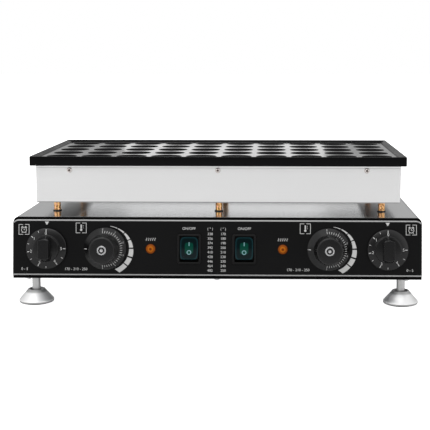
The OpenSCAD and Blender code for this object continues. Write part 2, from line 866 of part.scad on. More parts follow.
module control_shaft(x) {
    color("silver") at_control(x) translate([0, 0, seat_gap - panel_stack - shaft_hold])
        cylinder(d = shaft_d, h = panel_stack + shaft_hold + knob_gap + knob_bore - seat_gap);
}

module timer_knob(side) {
    skirt_z = knob_gap + timer_skirt_h;
    boss_z = skirt_z + timer_bevel_h;
    r = timer_knob_d / 2;
    color("#1a1a1c") at_control(side * timer_x) difference() {
        union() {
            rotate_extrude() polygon([[0, knob_gap], [r, knob_gap], [r, skirt_z - timer_bevel_h / 2],
                [timer_boss_d / 2, boss_z], [timer_boss_d / 2, boss_z + timer_boss_h], [0, boss_z + timer_boss_h]]);
            intersection() {
                translate([0, 0, boss_z]) cylinder(d1 = timer_boss_d, d2 = timer_grip_d, h = timer_knob_h - boss_z);
                translate([-timer_grip_w / 2, -timer_boss_d, knob_gap]) cube([timer_grip_w, 2 * timer_boss_d, timer_knob_h]);
            }
        }
        translate([0, 0, knob_gap - overrun]) cylinder(d = shaft_d, h = knob_bore + overrun);
    }
}

module temperature_knob(side) {
    r = dial_d / 2;
    foot_r = grip_foot_d / 2;
    top_r = grip_top_d / 2;
    color("#1a1a1c") at_control(side * thermostat_x) difference() {
        rotate_extrude() polygon(concat([[0, knob_gap], [r, knob_gap], [r, knob_gap + dial_edge],
            [foot_r, knob_gap + dial_h]],
            [for (a = [0 : 15 : 90]) [top_r - grip_round * (1 - cos(a)), temp_knob_h - grip_round * (1 - sin(a))]],
            [[0, temp_knob_h]]));
        translate([0, 0, knob_gap - overrun]) cylinder(d = shaft_d, h = knob_bore + overrun);
        translate([0, 0, temp_knob_h - cap_sink]) cylinder(d = cap_d, h = cap_sink + overrun);
    }
}

module knob_cap(side) {
    color("silver") at_control(side * thermostat_x) translate([0, 0, temp_knob_h - cap_sink])
        cylinder(d = cap_d, h = cap_t);
}

module switch_housing(side) {
    color("#161616") at_control(side * switch_x) difference() {
        union() {
            linear_extrude(bezel_h) rounded_rect(bezel_w, bezel_l, bezel_r);
            translate([0, 0, -switch_depth]) linear_extrude(switch_depth) rounded_rect(switch_w, switch_l, switch_r);
            for (y = [-blade_y, 0, blade_y])
                translate([0, y, -switch_depth - blade_l / 2]) cube([blade_w, blade_t, blade_l + overrun], center = true);
        }
        translate([0, 0, -well_depth]) linear_extrude(well_depth + bezel_h + overrun)
            square([well_w, well_l], center = true);
        translate([0, 0, -pivot_drop]) rotate([0, 90, 0])
            cylinder(d = pivot_d + 2 * run_clear, h = well_w + 2 * pivot_reach + 2 * run_clear, center = true);
    }
}

// The rocker's side view about its pivot, turned to the on position
module rocker(side) {
    half_w = well_w / 2 - rocker_side_gap;
    color("darkslategray") at_control(side * switch_x) translate([0, 0, -pivot_drop]) rotate([-rocker_tilt, 0, 0]) {
        along_x(-half_w, half_w) polygon([[-rocker_half, -rocker_back], [rocker_half, -rocker_back],
            [rocker_half, rocker_rise], [0, rocker_valley], [-rocker_half, rocker_rise]]);
        rotate([0, 90, 0]) cylinder(d = pivot_d, h = well_w + 2 * pivot_reach, center = true);
    }
}

module lamp_lens(side) {
    color("orange") at_control(side * lamp_x) {
        rotate_extrude() polygon([[0, 0], [lens_d / 2, 0], [lens_d / 2, lens_edge_h],
            [lens_shoulder_share * lens_d, lens_edge_h + lens_slope_share * lens_dome_h],
            [lens_flat_share * lens_d, lens_edge_h + lens_dome_h], [0, lens_edge_h + lens_dome_h]]);
        translate([0, 0, -lens_neck_l]) cylinder(d = lens_neck_d, h = lens_neck_l + lens_edge_h);
    }
}

module lamp_bodies() {
    color("ivory") for (s = [-1, 1]) at_control(s * lamp_x) difference() {
        union() {
            translate([0, 0, -lamp_depth]) cylinder(d = lamp_body_d, h = lamp_depth);
            translate([0, 0, -panel_stack - lamp_nut_h]) cylinder(d = lamp_nut_d, h = lamp_nut_h);
        }
        translate([0, 0, -lens_neck_l - overrun]) cylinder(d = lamp_bore_d, h = lens_neck_l + 2 * overrun);
    }
}

module control_screws() {
    color("silver") fixing_places() {
        cylinder(d = fixing_head_d, h = fixing_head_h);
        translate([0, 0, -fixing_len]) cylinder(d = fixing_d, h = fixing_len);
    }
}

// Supply

module terminal_block() {
    cell = (block_l - block_rib_w) / block_poles;
    color("beige") translate([block_x - block_l / 2, block_y - block_w / 2, base_z + body_sheet]) difference() {
        union() {
            cube([block_l, block_w, block_base_h]);
            for (i = [0 : block_poles]) translate([i * cell, 0, 0]) cube([block_rib_w, block_w, block_rib_h]);
        }
        for (i = [0 : block_poles - 1]) translate([(i + 0.5) * cell + block_rib_w / 2, block_w / 2, body_sheet])
            cylinder(d = block_screw_d, h = block_rib_h);
    }
}

module supply_loom() {
    inner_y = rear_y - gland_inside;
    front_y = block_y - block_w / 2;
    bend_y = block_y + block_w / 2;
    color("#262626") {
        wire([[gland_x, inner_y, gland_z], [gland_x, inner_y - 2 * loom_d, gland_z],
            [gland_x, inner_y - 2 * loom_d, loom_z], [gland_x, bend_y, loom_z]], loom_d);
        wire([[gland_x, front_y, loom_z], [gland_x, box_mid_y, loom_z], [0, box_mid_y, loom_z],
            [0, panel_top_y + loom_end_inset, loom_z], [0, panel_top_y + loom_end_inset, loom_end_z]], loom_d);
    }
}

module cable_gland() {
    color("#1b1b1b") translate([gland_x, rear_y, gland_z]) rotate([-90, 0, 0]) difference() {
        union() {
            rotate_extrude() polygon([[0, 0], [gland_cap_d / 2, 0], [gland_cap_d / 2, gland_reach / 2],
                [gland_mouth_d / 2, gland_reach], [0, gland_reach]]);
            translate([0, 0, -gland_inside]) cylinder(d = gland_neck_d, h = gland_inside + overrun);
        }
        translate([0, 0, -gland_inside - overrun])
            cylinder(d = gland_bore_d, h = gland_inside + gland_reach + 2 * overrun);
    }
}

module cable_gland_nut() {
    color("#303030") translate([gland_x, rear_y - body_sheet - gland_nut_h, gland_z]) rotate([-90, 0, 0]) difference() {
        hexagon(gland_nut_af, gland_nut_h);
        translate([0, 0, -overrun]) cylinder(d = gland_neck_d, h = gland_nut_h + 2 * overrun);
    }
}

baking_plate();
heater_box();
heater_box_floor();
heater_box_screws();
heating_element(-1);  // left_heating_element
heating_element(1);  // right_heating_element
element_clamps();
element_clamp_screws();
heat_shield();
insulation_pad();
sensor_bulb(-1);  // left_sensor_bulb
sensor_bulb(1);  // right_sensor_bulb
element_leads(-1);  // left_element_leads
element_leads(1);  // right_element_leads
front_posts();
rear_posts();
post_washers();
post_nuts();
body_cover();
rear_panel();
bottom_plate();
front_panel();
control_plate();
body_screws();
foot(-1, front_foot_y);  // front_left_foot
foot(1, front_foot_y);  // front_right_foot
foot(-1, rear_foot_y);  // rear_left_foot
foot(1, rear_foot_y);  // rear_right_foot
foot_pad(-1, front_foot_y);  // front_left_foot_pad
foot_pad(1, front_foot_y);  // front_right_foot_pad
foot_pad(-1, rear_foot_y);  // rear_left_foot_pad
foot_pad(1, rear_foot_y);  // rear_right_foot_pad
foot_nuts();
timer(-1);  // left_timer
timer(1);  // right_timer
control_shaft(-timer_x);  // left_timer_shaft
control_shaft(timer_x);  // right_timer_shaft
timer_knob(-1);  // left_timer_knob
timer_knob(1);  // right_timer_knob
thermostat(-1);  // left_thermostat
thermostat(1);  // right_thermostat
control_shaft(-thermostat_x);  // left_thermostat_shaft
control_shaft(thermostat_x);  // right_thermostat_shaft
temperature_knob(-1);  // left_temperature_knob
temperature_knob(1);  // right_temperature_knob
knob_cap(-1);  // left_knob_cap
knob_cap(1);  // right_knob_cap
switch_housing(-1);  // left_switch_housing
switch_housing(1);  // right_switch_housing
rocker(-1);  // left_rocker
rocker(1);  // right_rocker
lamp_lens(-1);  // left_lamp_lens
lamp_lens(1);  // right_lamp_lens
lamp_bodies();
control_screws();
terminal_block();
supply_loom();
cable_gland();
cable_gland_nut();
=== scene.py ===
import math

import bmesh
import bpy
import numpy as np
from mathutils import Matrix, Vector


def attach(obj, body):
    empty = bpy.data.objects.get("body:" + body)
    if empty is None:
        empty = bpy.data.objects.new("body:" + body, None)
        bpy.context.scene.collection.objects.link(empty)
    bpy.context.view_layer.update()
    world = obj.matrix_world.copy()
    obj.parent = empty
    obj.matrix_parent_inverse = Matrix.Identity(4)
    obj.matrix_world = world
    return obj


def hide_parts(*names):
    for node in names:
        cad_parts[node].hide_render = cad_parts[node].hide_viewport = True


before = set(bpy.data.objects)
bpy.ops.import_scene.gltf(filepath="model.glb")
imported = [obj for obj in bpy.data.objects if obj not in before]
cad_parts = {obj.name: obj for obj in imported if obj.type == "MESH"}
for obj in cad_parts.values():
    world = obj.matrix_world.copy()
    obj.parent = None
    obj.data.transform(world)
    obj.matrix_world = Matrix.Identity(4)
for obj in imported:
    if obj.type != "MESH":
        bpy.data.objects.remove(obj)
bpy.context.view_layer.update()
print("frame loaded")

mm = 0.001
pi = math.pi
far = 1000  # beyond every piece, in millimetres
sunk = -0.1  # how deep the marks of knobs and rockers reach into the face that they lie on
controls = {"left": -1, "right": 1}  # what stands on both sides of the middle

# Sizes that several pieces share, in millimetres, the same as the solids' own
layout = {
    "bodyWidth": 480, "bodyDepth": 258, "bodyHeight": 71.8, "groundClear": 35.3, "leanRun": 8, "bendRadius": 6,
    "panelThick": 2, "controlThick": 1.5, "boxWidth": 436, "boxDepth": 222, "boxHeight": 44.6, "boxGap": 13.8,
    "boxSetback": 24, "boxSheet": 1, "timerX": 200, "thermostatX": 131, "lampX": 77.5, "switchX": 32.3,
    "rowShare": 0.512, "timerHeight": 21.5, "temperatureHeight": 28, "gripTop": 30.8, "gripRound": 2,
    "glandReach": 14,
}
lean = math.atan(layout["leanRun"] / layout["bodyHeight"])
leanCos, leanSin = math.cos(lean), math.sin(lean)
panelLength = math.hypot(layout["bodyHeight"], layout["leanRun"])
rowDrop = layout["rowShare"] * panelLength  # the controls' row, down the panel from its top edge
knobLow = rowDrop + layout["gripTop"] / 2 - layout["gripRound"]
frontReach = (layout["controlThick"] + layout["temperatureHeight"]) * leanCos + knobLow * leanSin
overallDepth = frontReach + layout["bodyDepth"] + layout["glandReach"]
panelTopY = frontReach - overallDepth / 2
rearY = panelTopY + layout["bodyDepth"]
bodyTopZ = layout["groundClear"] + layout["bodyHeight"]
boxFrontY = panelTopY + layout["boxSetback"]
boxMidY = boxFrontY + layout["boxDepth"] / 2
boxZ = bodyTopZ + layout["boxGap"]
plateZ = boxZ + layout["boxHeight"]


# Mesh helpers: points are in millimetres until a piece is made

# Quads of a grid of rows by columns; wrap closes it round the columns
def gridFaces(rows, columns, wrap=False):
    last = columns if wrap else columns - 1
    r, c = np.meshgrid(np.arange(rows - 1), np.arange(last), indexing="ij")
    n = (c + 1) % columns
    quads = np.stack([r * columns + c, r * columns + n, (r + 1) * columns + n, (r + 1) * columns + c], axis=-1)
    return quads.reshape(-1, 4)


# The same, closed round the columns, with a flat face over its first row and its last
def tubeFaces(rows, columns):
    ends = [list(reversed(range(columns))), [(rows - 1) * columns + k for k in range(columns)]]
    return gridFaces(rows, columns, wrap=True).tolist() + ends


# Several (points, faces) as one
def joined(parts):
    points, faces, start = [], [], 0
    for p, f in parts:
        points.append(np.asarray(p, dtype=float))
        faces.extend((np.asarray(face) + start).tolist() for face in f)
        start += len(p)
    return np.concatenate(points), faces


# A profile of (radius, height) turned round Z: x = r cos a, y = r sin a. Between two heights flutes take
# depth * (1 + cos(flutes * a)) / 2 off the radius
def lathe(profile, segments=64, flutes=0, fluteDepth=0.0, fluteFrom=0.0, fluteTo=0.0):
    profile = np.asarray(profile, dtype=float)
    a = np.arange(segments) * 2 * pi / segments
    r = np.repeat(profile[:, :1], segments, axis=1)
    if flutes:
        inside = (profile[:, 1:] > fluteFrom) & (profile[:, 1:] < fluteTo)
        r = r - inside * fluteDepth * (0.5 + 0.5 * np.cos(flutes * a))[None, :]
    points = np.stack([r * np.cos(a), r * np.sin(a), np.repeat(profile[:, 1:], segments, axis=1)], axis=-1)
    return points.reshape(-1, 3), gridFaces(len(profile), segments, wrap=True)


# The directions (cos a, sin a) of some angles
def around(a):
    return np.stack([np.cos(a), np.sin(a)], axis=-1)


# An arc's points, from one angle to another in degrees: centre + radius * (cos a, sin a)
def arc(cx, cy, radius, start, end, steps=6):
    return np.array([cx, cy]) + radius * around(np.radians(np.linspace(start, end, steps)))


# A rectangle's points with several at each corner, and each point's corner sign and outward direction.
# A side's points go from -1 to 1 times half its length; at a corner the direction turns by 90 degrees
def ringPath(width, depth, perSideX, perSideY, cornerSteps=5):
    tx, ty = np.linspace(-1, 1, perSideX + 1), np.linspace(-1, 1, perSideY + 1)
    turn = np.radians(np.linspace(0, 90, cornerSteps))
    base, sign, way = [], [], []
    ways = np.array([(1, 0), (0, 1), (-1, 0), (0, -1)], dtype=float)
    for k, (sx, sy, t) in enumerate([(1, -1, ty), (1, 1, -tx), (-1, 1, -ty), (-1, -1, tx)]):
        upright = k % 2 == 0
        along = np.stack([np.full_like(t, sx) if upright else t, t if upright else np.full_like(t, sy)], axis=-1)
        along = along * np.array([width / 2, depth / 2])
        corner = along[-1:]
        base += [along[:-1], np.repeat(corner, cornerSteps, axis=0)]
        sign += [np.zeros((len(t) - 1, 2)), np.repeat(np.sign(corner), cornerSteps, axis=0)]
        way += [np.repeat(ways[k][None], len(t) - 1, axis=0),
                np.cos(turn)[:, None] * ways[k] + np.sin(turn)[:, None] * ways[(k + 1) % 4]]
    return np.concatenate(base), np.concatenate(sign), np.concatenate(way)


# A profile of (offset outwards, height) carried round a rectangle whose corners are rounded by at most corner:
# there a point moves by (offset - r) along the diagonal and by r along its own direction
def ringSweep(profile, width, depth, perSideX=2, perSideY=2, corner=1.5, cornerSteps=5):
    profile = np.asarray(profile, dtype=float)
    base, sign, way = ringPath(width, depth, perSideX, perSideY, cornerSteps)
    offset = profile[:, 0][:, None]
    r = np.clip(offset, 0, corner)
    atCorner = (np.abs(sign).sum(axis=1) > 0)[None, :, None]
    straight = base[None] + offset[..., None] * way[None]
    rounded = base[None] + (offset - r)[..., None] * sign[None] + r[..., None] * way[None]
    z = np.repeat(profile[:, 1:], len(base), axis=1)[..., None]
    points = np.concatenate([np.where(atCorner, rounded, straight), z], axis=-1)
    return points.reshape(-1, 3), gridFaces(len(profile), len(base), wrap=True)


# Flat bars as closed boxes from z0 to z1: centres and sizes in the plane, each turned by its own angle
def bars(centres, sizes, turns, z0, z1):
    centres, sizes, turns = (np.asarray(v, dtype=float) for v in (centres, sizes, turns))
    unit = np.array([(-0.5, -0.5), (0.5, -0.5), (0.5, 0.5), (-0.5, 0.5)])
    local = unit[None] * sizes[:, None, :]
    c, s = np.cos(turns)[:, None], np.sin(turns)[:, None]
    x = centres[:, None, 0] + local[..., 0] * c - local[..., 1] * s
    y = centres[:, None, 1] + local[..., 0] * s + local[..., 1] * c
    points = np.concatenate([np.stack([x, y, np.full_like(x, z)], axis=-1) for z in (z0, z1)], axis=1)
    cube = np.array([(3, 2, 1, 0), (4, 5, 6, 7), (0, 1, 5, 4), (1, 2, 6, 5), (2, 3, 7, 6), (3, 0, 4, 7)])
    faces = (np.arange(len(centres))[:, None, None] * 8 + cube[None]).reshape(-1, 4)
    return points.reshape(-1, 3), faces


# A flat band between two lines of as many points, as a solid from z0 to z1; closed joins its two ends
def band(inner, outer, z0, z1, closed=False):
    n = len(inner)
    corners = ((inner, z0), (outer, z0), (outer, z1), (inner, z1))
    section = np.stack([np.column_stack([line, np.full(n, z)]) for line, z in corners], axis=1)
    faces = tubeFaces(n, 4)
    if closed:
        last = (n - 1) * 4
        faces = faces[:-2] + [[last + k, last + (k + 1) % 4, (k + 1) % 4, k] for k in range(4)]
    return section.reshape(-1, 3), faces


def ring(cx, cy, radius, width, z0, z1, steps=28):
    inner, outer = (arc(cx, cy, radius + side * width / 2, 0, 360, steps + 1)[:-1] for side in (-1, 1))
    return band(inner, outer, z0, z1, closed=True)


# Plain numbers as a thin closed solid about a centre
def lettering(text, height, cx, cy, z0, z1):
    curve = bpy.data.curves.new("lettering", "FONT")
    curve.body = text
    curve.align_x, curve.align_y = "CENTER", "CENTER"
    curve.size = height * 1.35  # a font's size is 1.35 times its figures' height
    curve.extrude = (z1 - z0) / 2
    curve.resolution_u = 3
    carrier = bpy.data.objects.new("lettering", curve)
    bpy.context.collection.objects.link(carrier)
    made = bpy.data.meshes.new_from_object(carrier.evaluated_get(bpy.context.evaluated_depsgraph_get()))
    points = np.zeros(len(made.vertices) * 3)
    made.vertices.foreach_get("co", points)
    points = points.reshape(-1, 3) + np.array([cx, cy, (z0 + z1) / 2])
    faces = [list(p.vertices) for p in made.polygons]
    bpy.data.objects.remove(carrier)
    bpy.data.curves.remove(curve)
    bpy.data.meshes.remove(made)
    return points, faces


# Rounded rectangles of (width, length, corner, height), joined one to the next and closed at both ends
def loft(rings, cornerSteps=6):
    turn = np.radians(np.linspace(0, 90, cornerSteps))
    corners = [(1, 1, 0), (-1, 1, pi / 2), (-1, -1, pi), (1, -1, 1.5 * pi)]
    points = []
    for width, length, radius, z in rings:
        x = np.concatenate([sx * (width / 2 - radius) + radius * np.cos(turn + q) for sx, sy, q in corners])
        y = np.concatenate([sy * (length / 2 - radius) + radius * np.sin(turn + q) for sx, sy, q in corners])
        points.append(np.stack([x, y, np.full_like(x, z)], -1))
    return np.concatenate(points), tubeFaces(len(rings), len(points[0]))


# Lays flat marks on a cone whose height falls from (topR, topZ) to (rimR, rimZ)
def onCone(part, rimR, rimZ, topR, topZ):
    points, faces = part
    reach = np.hypot(points[:, 0], points[:, 1])
    lift = rimZ + (topZ - rimZ) * np.clip((rimR - reach) / (rimR - topR), 0, 1)
    return points + np.column_stack([0 * lift, 0 * lift, lift]), faces


# (across, up from the panel's top edge, out of its leaning face) to the frame
def onPanel(points):
    x, up, out = np.asarray(points, dtype=float).T
    return np.stack([x, panelTopY - out * leanCos + up * leanSin, bodyTopZ + out * leanSin + up * leanCos], axis=-1)


# (right, up, out of the control plate) about a control's axis to the frame
def atControl(parts, x):
    centre = np.array([x, -rowDrop, layout["controlThick"]])
    return [(onPanel(points + centre), faces) for points, faces in parts]


def moved(points, x=0, y=0, z=0):
    return np.asarray(points, dtype=float) + np.array([x, y, z])


# Makes one mesh piece, in metres, from several (points, faces)
def makePiece(name, parts, material, body="cooker", slot=None, replaces=(), sharpAngle=35, recalc=False, flat=False):
    points, faces = joined(parts)
    mesh = bpy.data.meshes.new(name)
    mesh.from_pydata((points * mm).tolist(), [], faces)
    work = bmesh.new()
    work.from_mesh(mesh)
    bmesh.ops.remove_doubles(work, verts=work.verts, dist=2e-6)
    bmesh.ops.dissolve_degenerate(work, edges=work.edges, dist=1e-7)
    if recalc:
        bmesh.ops.recalc_face_normals(work, faces=work.faces)
    work.to_mesh(mesh)
    work.free()
    if not flat:
        mesh.shade_smooth()
        mesh.set_sharp_from_angle(angle=math.radians(sharpAngle))
    mesh.materials.append(material)
    piece = bpy.data.objects.new(name, mesh)
    bpy.context.collection.objects.link(piece)
    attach(piece, body)
    if replaces:
        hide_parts(*replaces)
    return piece


# Material helpers: an input is given a number, a colour or another node's output

def wire(tree, sockets, values):
    for label, value in values.items():
        if isinstance(value, bpy.types.NodeSocket):
            tree.links.new(value, sockets[label])
        else:
            sockets[label].default_value = value


def node(tree, kind, inputs=None, **settings):
    made = tree.nodes.new(kind)
    for key, value in settings.items():
        setattr(made, key, value)
    wire(tree, made.inputs, inputs or {})
    return made


def mathNode(tree, operation, *values):
    return node(tree, "ShaderNodeMath", dict(enumerate(values)), operation=operation).outputs[0]


# How far a value lies from a place, on either side of it
def offFrom(tree, value, place):
    return mathNode(tree, "ABSOLUTE", mathNode(tree, "SUBTRACT", value, place))


# The square root of a squared plus b squared
def span(tree, a, b):
    squares = [mathNode(tree, "MULTIPLY", leg, leg) for leg in (a, b)]
    return mathNode(tree, "SQRT", mathNode(tree, "ADD", *squares))


# A value from low to high brought to first to last
def mapped(tree, value, low, high, first=0.0, last=1.0, kind="LINEAR"):
    limits = {"Value": value, "From Min": low, "From Max": high, "To Min": first, "To Max": last}
    return node(tree, "ShaderNodeMapRange", limits, interpolation_type=kind).outputs[0]


# 1 while a value lies between low and high, with a soft step at both, in millimetres
def between(tree, value, low, high, soft):
    limits = ((low - soft, low + soft), (high + soft, high - soft))
    return mathNode(tree, "MULTIPLY", *[mapped(tree, value, a * mm, b * mm, kind="SMOOTHSTEP") for a, b in limits])


def noise(tree, where, scale, detail):
    return node(tree, "ShaderNodeTexNoise", {"Vector": where, "Scale": scale, "Detail": detail}).outputs["Fac"]


def mixed(tree, factor, first, second, **settings):
    inputs = {"Factor": factor, "A": first, "B": second}
    return node(tree, "ShaderNodeMix", inputs, data_type="RGBA", **settings).outputs["Result"]


# A colour that follows a value through stops of (place, colour)
def ramped(tree, value, stops):
    ramp = node(tree, "ShaderNodeValToRGB", {"Fac": value})
    made = ramp.color_ramp.elements
    while len(made) < len(stops):
        made.new(0.5)
    for stop, (place, tone) in zip(made, stops):
        stop.position = place
        stop.color = (*tone, 1)
    return ramp.outputs["Color"]


# Parts of a material's own place, in metres: X across, Y from front to back, Z up
def placed(tree, axes):
    where = node(tree, "ShaderNodeTexCoord").outputs["Object"]
    parts = node(tree, "ShaderNodeSeparateXYZ", {0: where})
    return [parts.outputs[axis] for axis in axes]


# Lays tones over a material's base colour where their masks are 1
def tinted(material, layers):
    tree = material.node_tree
    socket = tree.nodes["Principled BSDF"].inputs["Base Color"]
    result = socket.links[0].from_socket if socket.links else socket.default_value
    for mask, tone in layers:
        result = mixed(tree, mask, result, (*tone, 1))
    tree.links.new(result, socket)


def newGroup(name, inputs, outputs):
    group = bpy.data.node_groups.new(name, "ShaderNodeTree")
    for label, value in inputs.items():
        kind = "NodeSocketVector" if value is None or isinstance(value, tuple) else "NodeSocketFloat"
        socket = group.interface.new_socket(name=label, in_out="INPUT", socket_type=kind)
        if value is not None:
            socket.default_value = value
    for label in outputs:
        group.interface.new_socket(name=label, in_out="OUTPUT", socket_type="NodeSocketFloat")
    return group, group.nodes.new("NodeGroupInput").outputs, group.nodes.new("NodeGroupOutput").inputs


# Fine straight lines of a brushed sheet: noise drawn out along one direction
def grainGroup():
    inputs = {"Vector": None, "Stretch": (4, 900, 900), "Low": 0.2, "High": 0.3}
    tree, given, result = newGroup("brushedGrain", inputs, ["Roughness", "Height"])
    scaled = node(tree, "ShaderNodeVectorMath", {0: given["Vector"], 1: given["Stretch"]}, operation="MULTIPLY")
    lines = noise(tree, scaled.outputs[0], 1.0, 3.0)
    wire(tree, result, {"Roughness": mapped(tree, lines, 0.3, 0.7, given["Low"], given["High"]), "Height": lines})
    return tree


# Small even bumps of a cast, moulded or coated surface, with a slow drift in tone
def speckleGroup():
    inputs = {"Vector": None, "Size": 900.0, "Low": 0.3, "High": 0.4}
    tree, given, result = newGroup("fineSpeckle", inputs, ["Roughness", "Height", "Drift"])
    slow = noise(tree, given["Vector"], 14.0, 2.0)
    wire(tree, result, {"Roughness": mapped(tree, slow, 0.3, 0.7, given["Low"], given["High"]),
                        "Height": noise(tree, given["Vector"], given["Size"], 2.0), "Drift": slow})
    return tree


grain = grainGroup()
speckle = speckleGroup()


def startMaterial(name, base, metallic=0.0, specular=0.5, **sockets):
    material = bpy.data.materials.new(name)
    material.use_nodes = True
    tree = material.node_tree
    shader = tree.nodes["Principled BSDF"]
    values = {"Base Color": (*base, 1), "Metallic": metallic, "Specular IOR Level": specular}
    wire(tree, shader.inputs, {**values, **sockets})
    return material, tree, shader, node(tree, "ShaderNodeTexCoord").outputs["Object"]


def addBump(tree, shader, height, distance, strength):
    bump = node(tree, "ShaderNodeBump", {"Strength": strength, "Distance": distance, "Height": height})
    tree.links.new(bump.outputs["Normal"], shader.inputs["Normal"])


# Gives a shader a finish group's roughness and bumps
def textured(tree, shader, group, inputs, distance, strength):
    made = node(tree, "ShaderNodeGroup", inputs, node_tree=group)
    tree.links.new(made.outputs["Roughness"], shader.inputs["Roughness"])
    addBump(tree, shader, made.outputs["Height"], distance, strength)
    return made


def brushed(name, base, low, high, stretch=(3, 700, 700), bump=0.08, distance=0.00002):
    material, tree, shader, where = startMaterial(name, base, 1.0)
    inputs = {"Vector": where, "Stretch": stretch, "Low": low, "High": high}
    textured(tree, shader, grain, inputs, distance, bump)
    return material


# A coated, cast or moulded finish whose tone drifts a little
def grained(name, base, low, high, size=900.0, bump=0.15, distance=0.00004, drift=0.12, specular=0.5):
    material, tree, shader, where = startMaterial(name, base, specular=specular)
    inputs = {"Vector": where, "Size": size, "Low": low, "High": high}
    spots = textured(tree, shader, speckle, inputs, distance, bump)
    tones = [(*[min(1, v * (1 + way * drift)) for v in base], 1) for way in (-1, 1)]
    tree.links.new(mixed(tree, spots.outputs["Drift"], *tones), shader.inputs["Base Color"])
    return material


allWays = (300, 300, 300)
black = (0.0028, 0.0028, 0.003)
stainless = brushed("stainlessSheet", (0.91, 0.915, 0.92), 0.13, 0.19, (3, 500, 500), 0.05)
boxSteel = brushed("boxSheet", (0.80, 0.80, 0.80), 0.42, 0.50, bump=0.04)
zincSheet = brushed("zincSheet", (0.58, 0.59, 0.60), 0.32, 0.45)
innerSteel = brushed("innerSheet", (0.84, 0.845, 0.85), 0.12, 0.2)
darkSteel = brushed("heatedSteel", (0.30, 0.31, 0.33), 0.35, 0.5)
chrome = brushed("turnedChrome", (0.93, 0.93, 0.93), 0.40, 0.50, (4, 4, 520), 0.5, 0.00025)
brightScrew = brushed("brightScrew", (0.74, 0.74, 0.75), 0.18, 0.3, allWays, 0.03)
warmScrew = brushed("warmScrewRecessShaded", (0.66, 0.62, 0.60), 0.22, 0.32, allWays, 0.04)
copper = brushed("copperTube", (0.75, 0.42, 0.28), 0.25, 0.4, allWays, 0.04)
washerSteel = brushed("darkWasher", (0.05, 0.05, 0.05), 0.35, 0.5, allWays, 0.04)
brightTrim = brushed("brightTrim", (0.42, 0.42, 0.42), 0.34, 0.42, (3, 900, 900), 0.03)
# The front panel's band: its real black coat, made darker than the control plate's coat as a painted step shadow
shadowedBandBlack = grained("shadowedEdgeBandBlack", (0.001, 0.001, 0.001), 0.35, 0.45, 1500.0, bump=0.05, specular=0.03)
panelCoat = grained("panelCoat", black, 0.30, 0.36, 1500.0, bump=0.05, specular=0.12)
glossBlack = grained("glossBlackPlastic", black, 0.16, 0.24, 1200.0, bump=0.04, specular=0.36)
satinBlack = grained("satinBlackPlastic", black, 0.22, 0.30, 1600.0, bump=0.08, specular=0.36)
mattBlack = grained("mattBlackPlastic", (0.004, 0.004, 0.004), 0.4, 0.5, 1600.0, bump=0.08, specular=0.15)
footRubber = grained("footRubber", (0.02, 0.02, 0.02), 0.7, 0.85, 1400.0, bump=0.2)
whiteInk = grained("whiteInk", (0.5, 0.5, 0.495), 0.45, 0.55, 2500.0, bump=0.02, drift=0.03)
lightPlastic = grained("lightPlastic", (0.76, 0.75, 0.71), 0.4, 0.5, 1200.0)
tanCeramic = grained("tanCeramic", (0.62, 0.52, 0.4), 0.55, 0.7, 1300.0)
woolBoard = grained("woolBoard", (0.8, 0.77, 0.68), 0.85, 0.95, 500.0, bump=0.5, distance=0.0004)
sleeveWeave = grained("sleeveWeave", (0.8, 0.8, 0.76), 0.8, 0.9, 2200.0, bump=0.4, distance=0.0001)
lampOrange = grained("lampOrange", (0.21, 0.05, 0.0035), 0.16, 0.26, bump=0.05, drift=0.3, specular=0.06)
tealInk = grained("tealInk", (0.12, 0.26, 0.28), 0.4, 0.5, 2500.0, bump=0.02, drift=0.03)

zinc = {"base": (0.78, 0.44, 0.19), "patches": 420.0, "low": 0.12, "high": 0.34, "stops": [
    (0.34, (0.20, 0.09, 0.05)), (0.46, (0.62, 0.30, 0.12)), (0.54, (0.86, 0.56, 0.20)), (0.66, (0.78, 0.34, 0.30))]}


# Yellow passivated zinc: gold that turns pinkish and darker in patches
def zincFinish():
    material, tree, shader, where = startMaterial("yellowZinc", zinc["base"], 1.0)
    patches = noise(tree, where, zinc["patches"], 2.0)
    wire(tree, shader.inputs, {"Base Color": ramped(tree, patches, zinc["stops"]),
                               "Roughness": mapped(tree, patches, 0.0, 1.0, zinc["low"], zinc["high"])})
    addBump(tree, shader, patches, 0.00005, 0.2)
    return material


goldZinc = zincFinish()
print("materials ready")

# Each zone of a rocker's face: half its width and length, its soft border's share, and its tone
rockerLook = {"edge": (0.0012, 0.0014, 0.0014), "rise": 3.2, "drop": 1.0, "zones": [
    (10.3, 12.8, 0.12, (0.005, 0.028, 0.034)), (9.3, 11.9, 0.35, (0.0006, 0.0055, 0.0065)),
    (4.9, 6.2, 0.5, (0.001, 0.040, 0.026))]}


# Dark teal with a lighter border and a green glow about the middle: a zone holds the places where
# (across / half width) ** 5 + (along / half length) ** 5 is under 1
def rockerPlastic():
    look = rockerLook
    material, tree = startMaterial("rockerTeal", look["edge"], specular=0.06, Roughness=0.3)[:2]
    x, z = placed(tree, "XZ")
    across = offFrom(tree, mathNode(tree, "ABSOLUTE", x), layout["switchX"] * mm)
    along = offFrom(tree, z, (bodyTopZ + (look["drop"] - rowDrop) * leanCos + look["rise"] * leanSin) * mm)
    layers = []
    for halfX, halfZ, soft, tone in look["zones"]:
        shares = [mathNode(tree, "POWER", mathNode(tree, "DIVIDE", value, half * mm), 5.0)
                  for value, half in ((across, halfX), (along, halfZ))]
        layers.append((mapped(tree, mathNode(tree, "ADD", *shares), 1 + soft, 1 - soft), tone))
    tinted(material, layers)
    return material


rockerTeal = rockerPlastic()

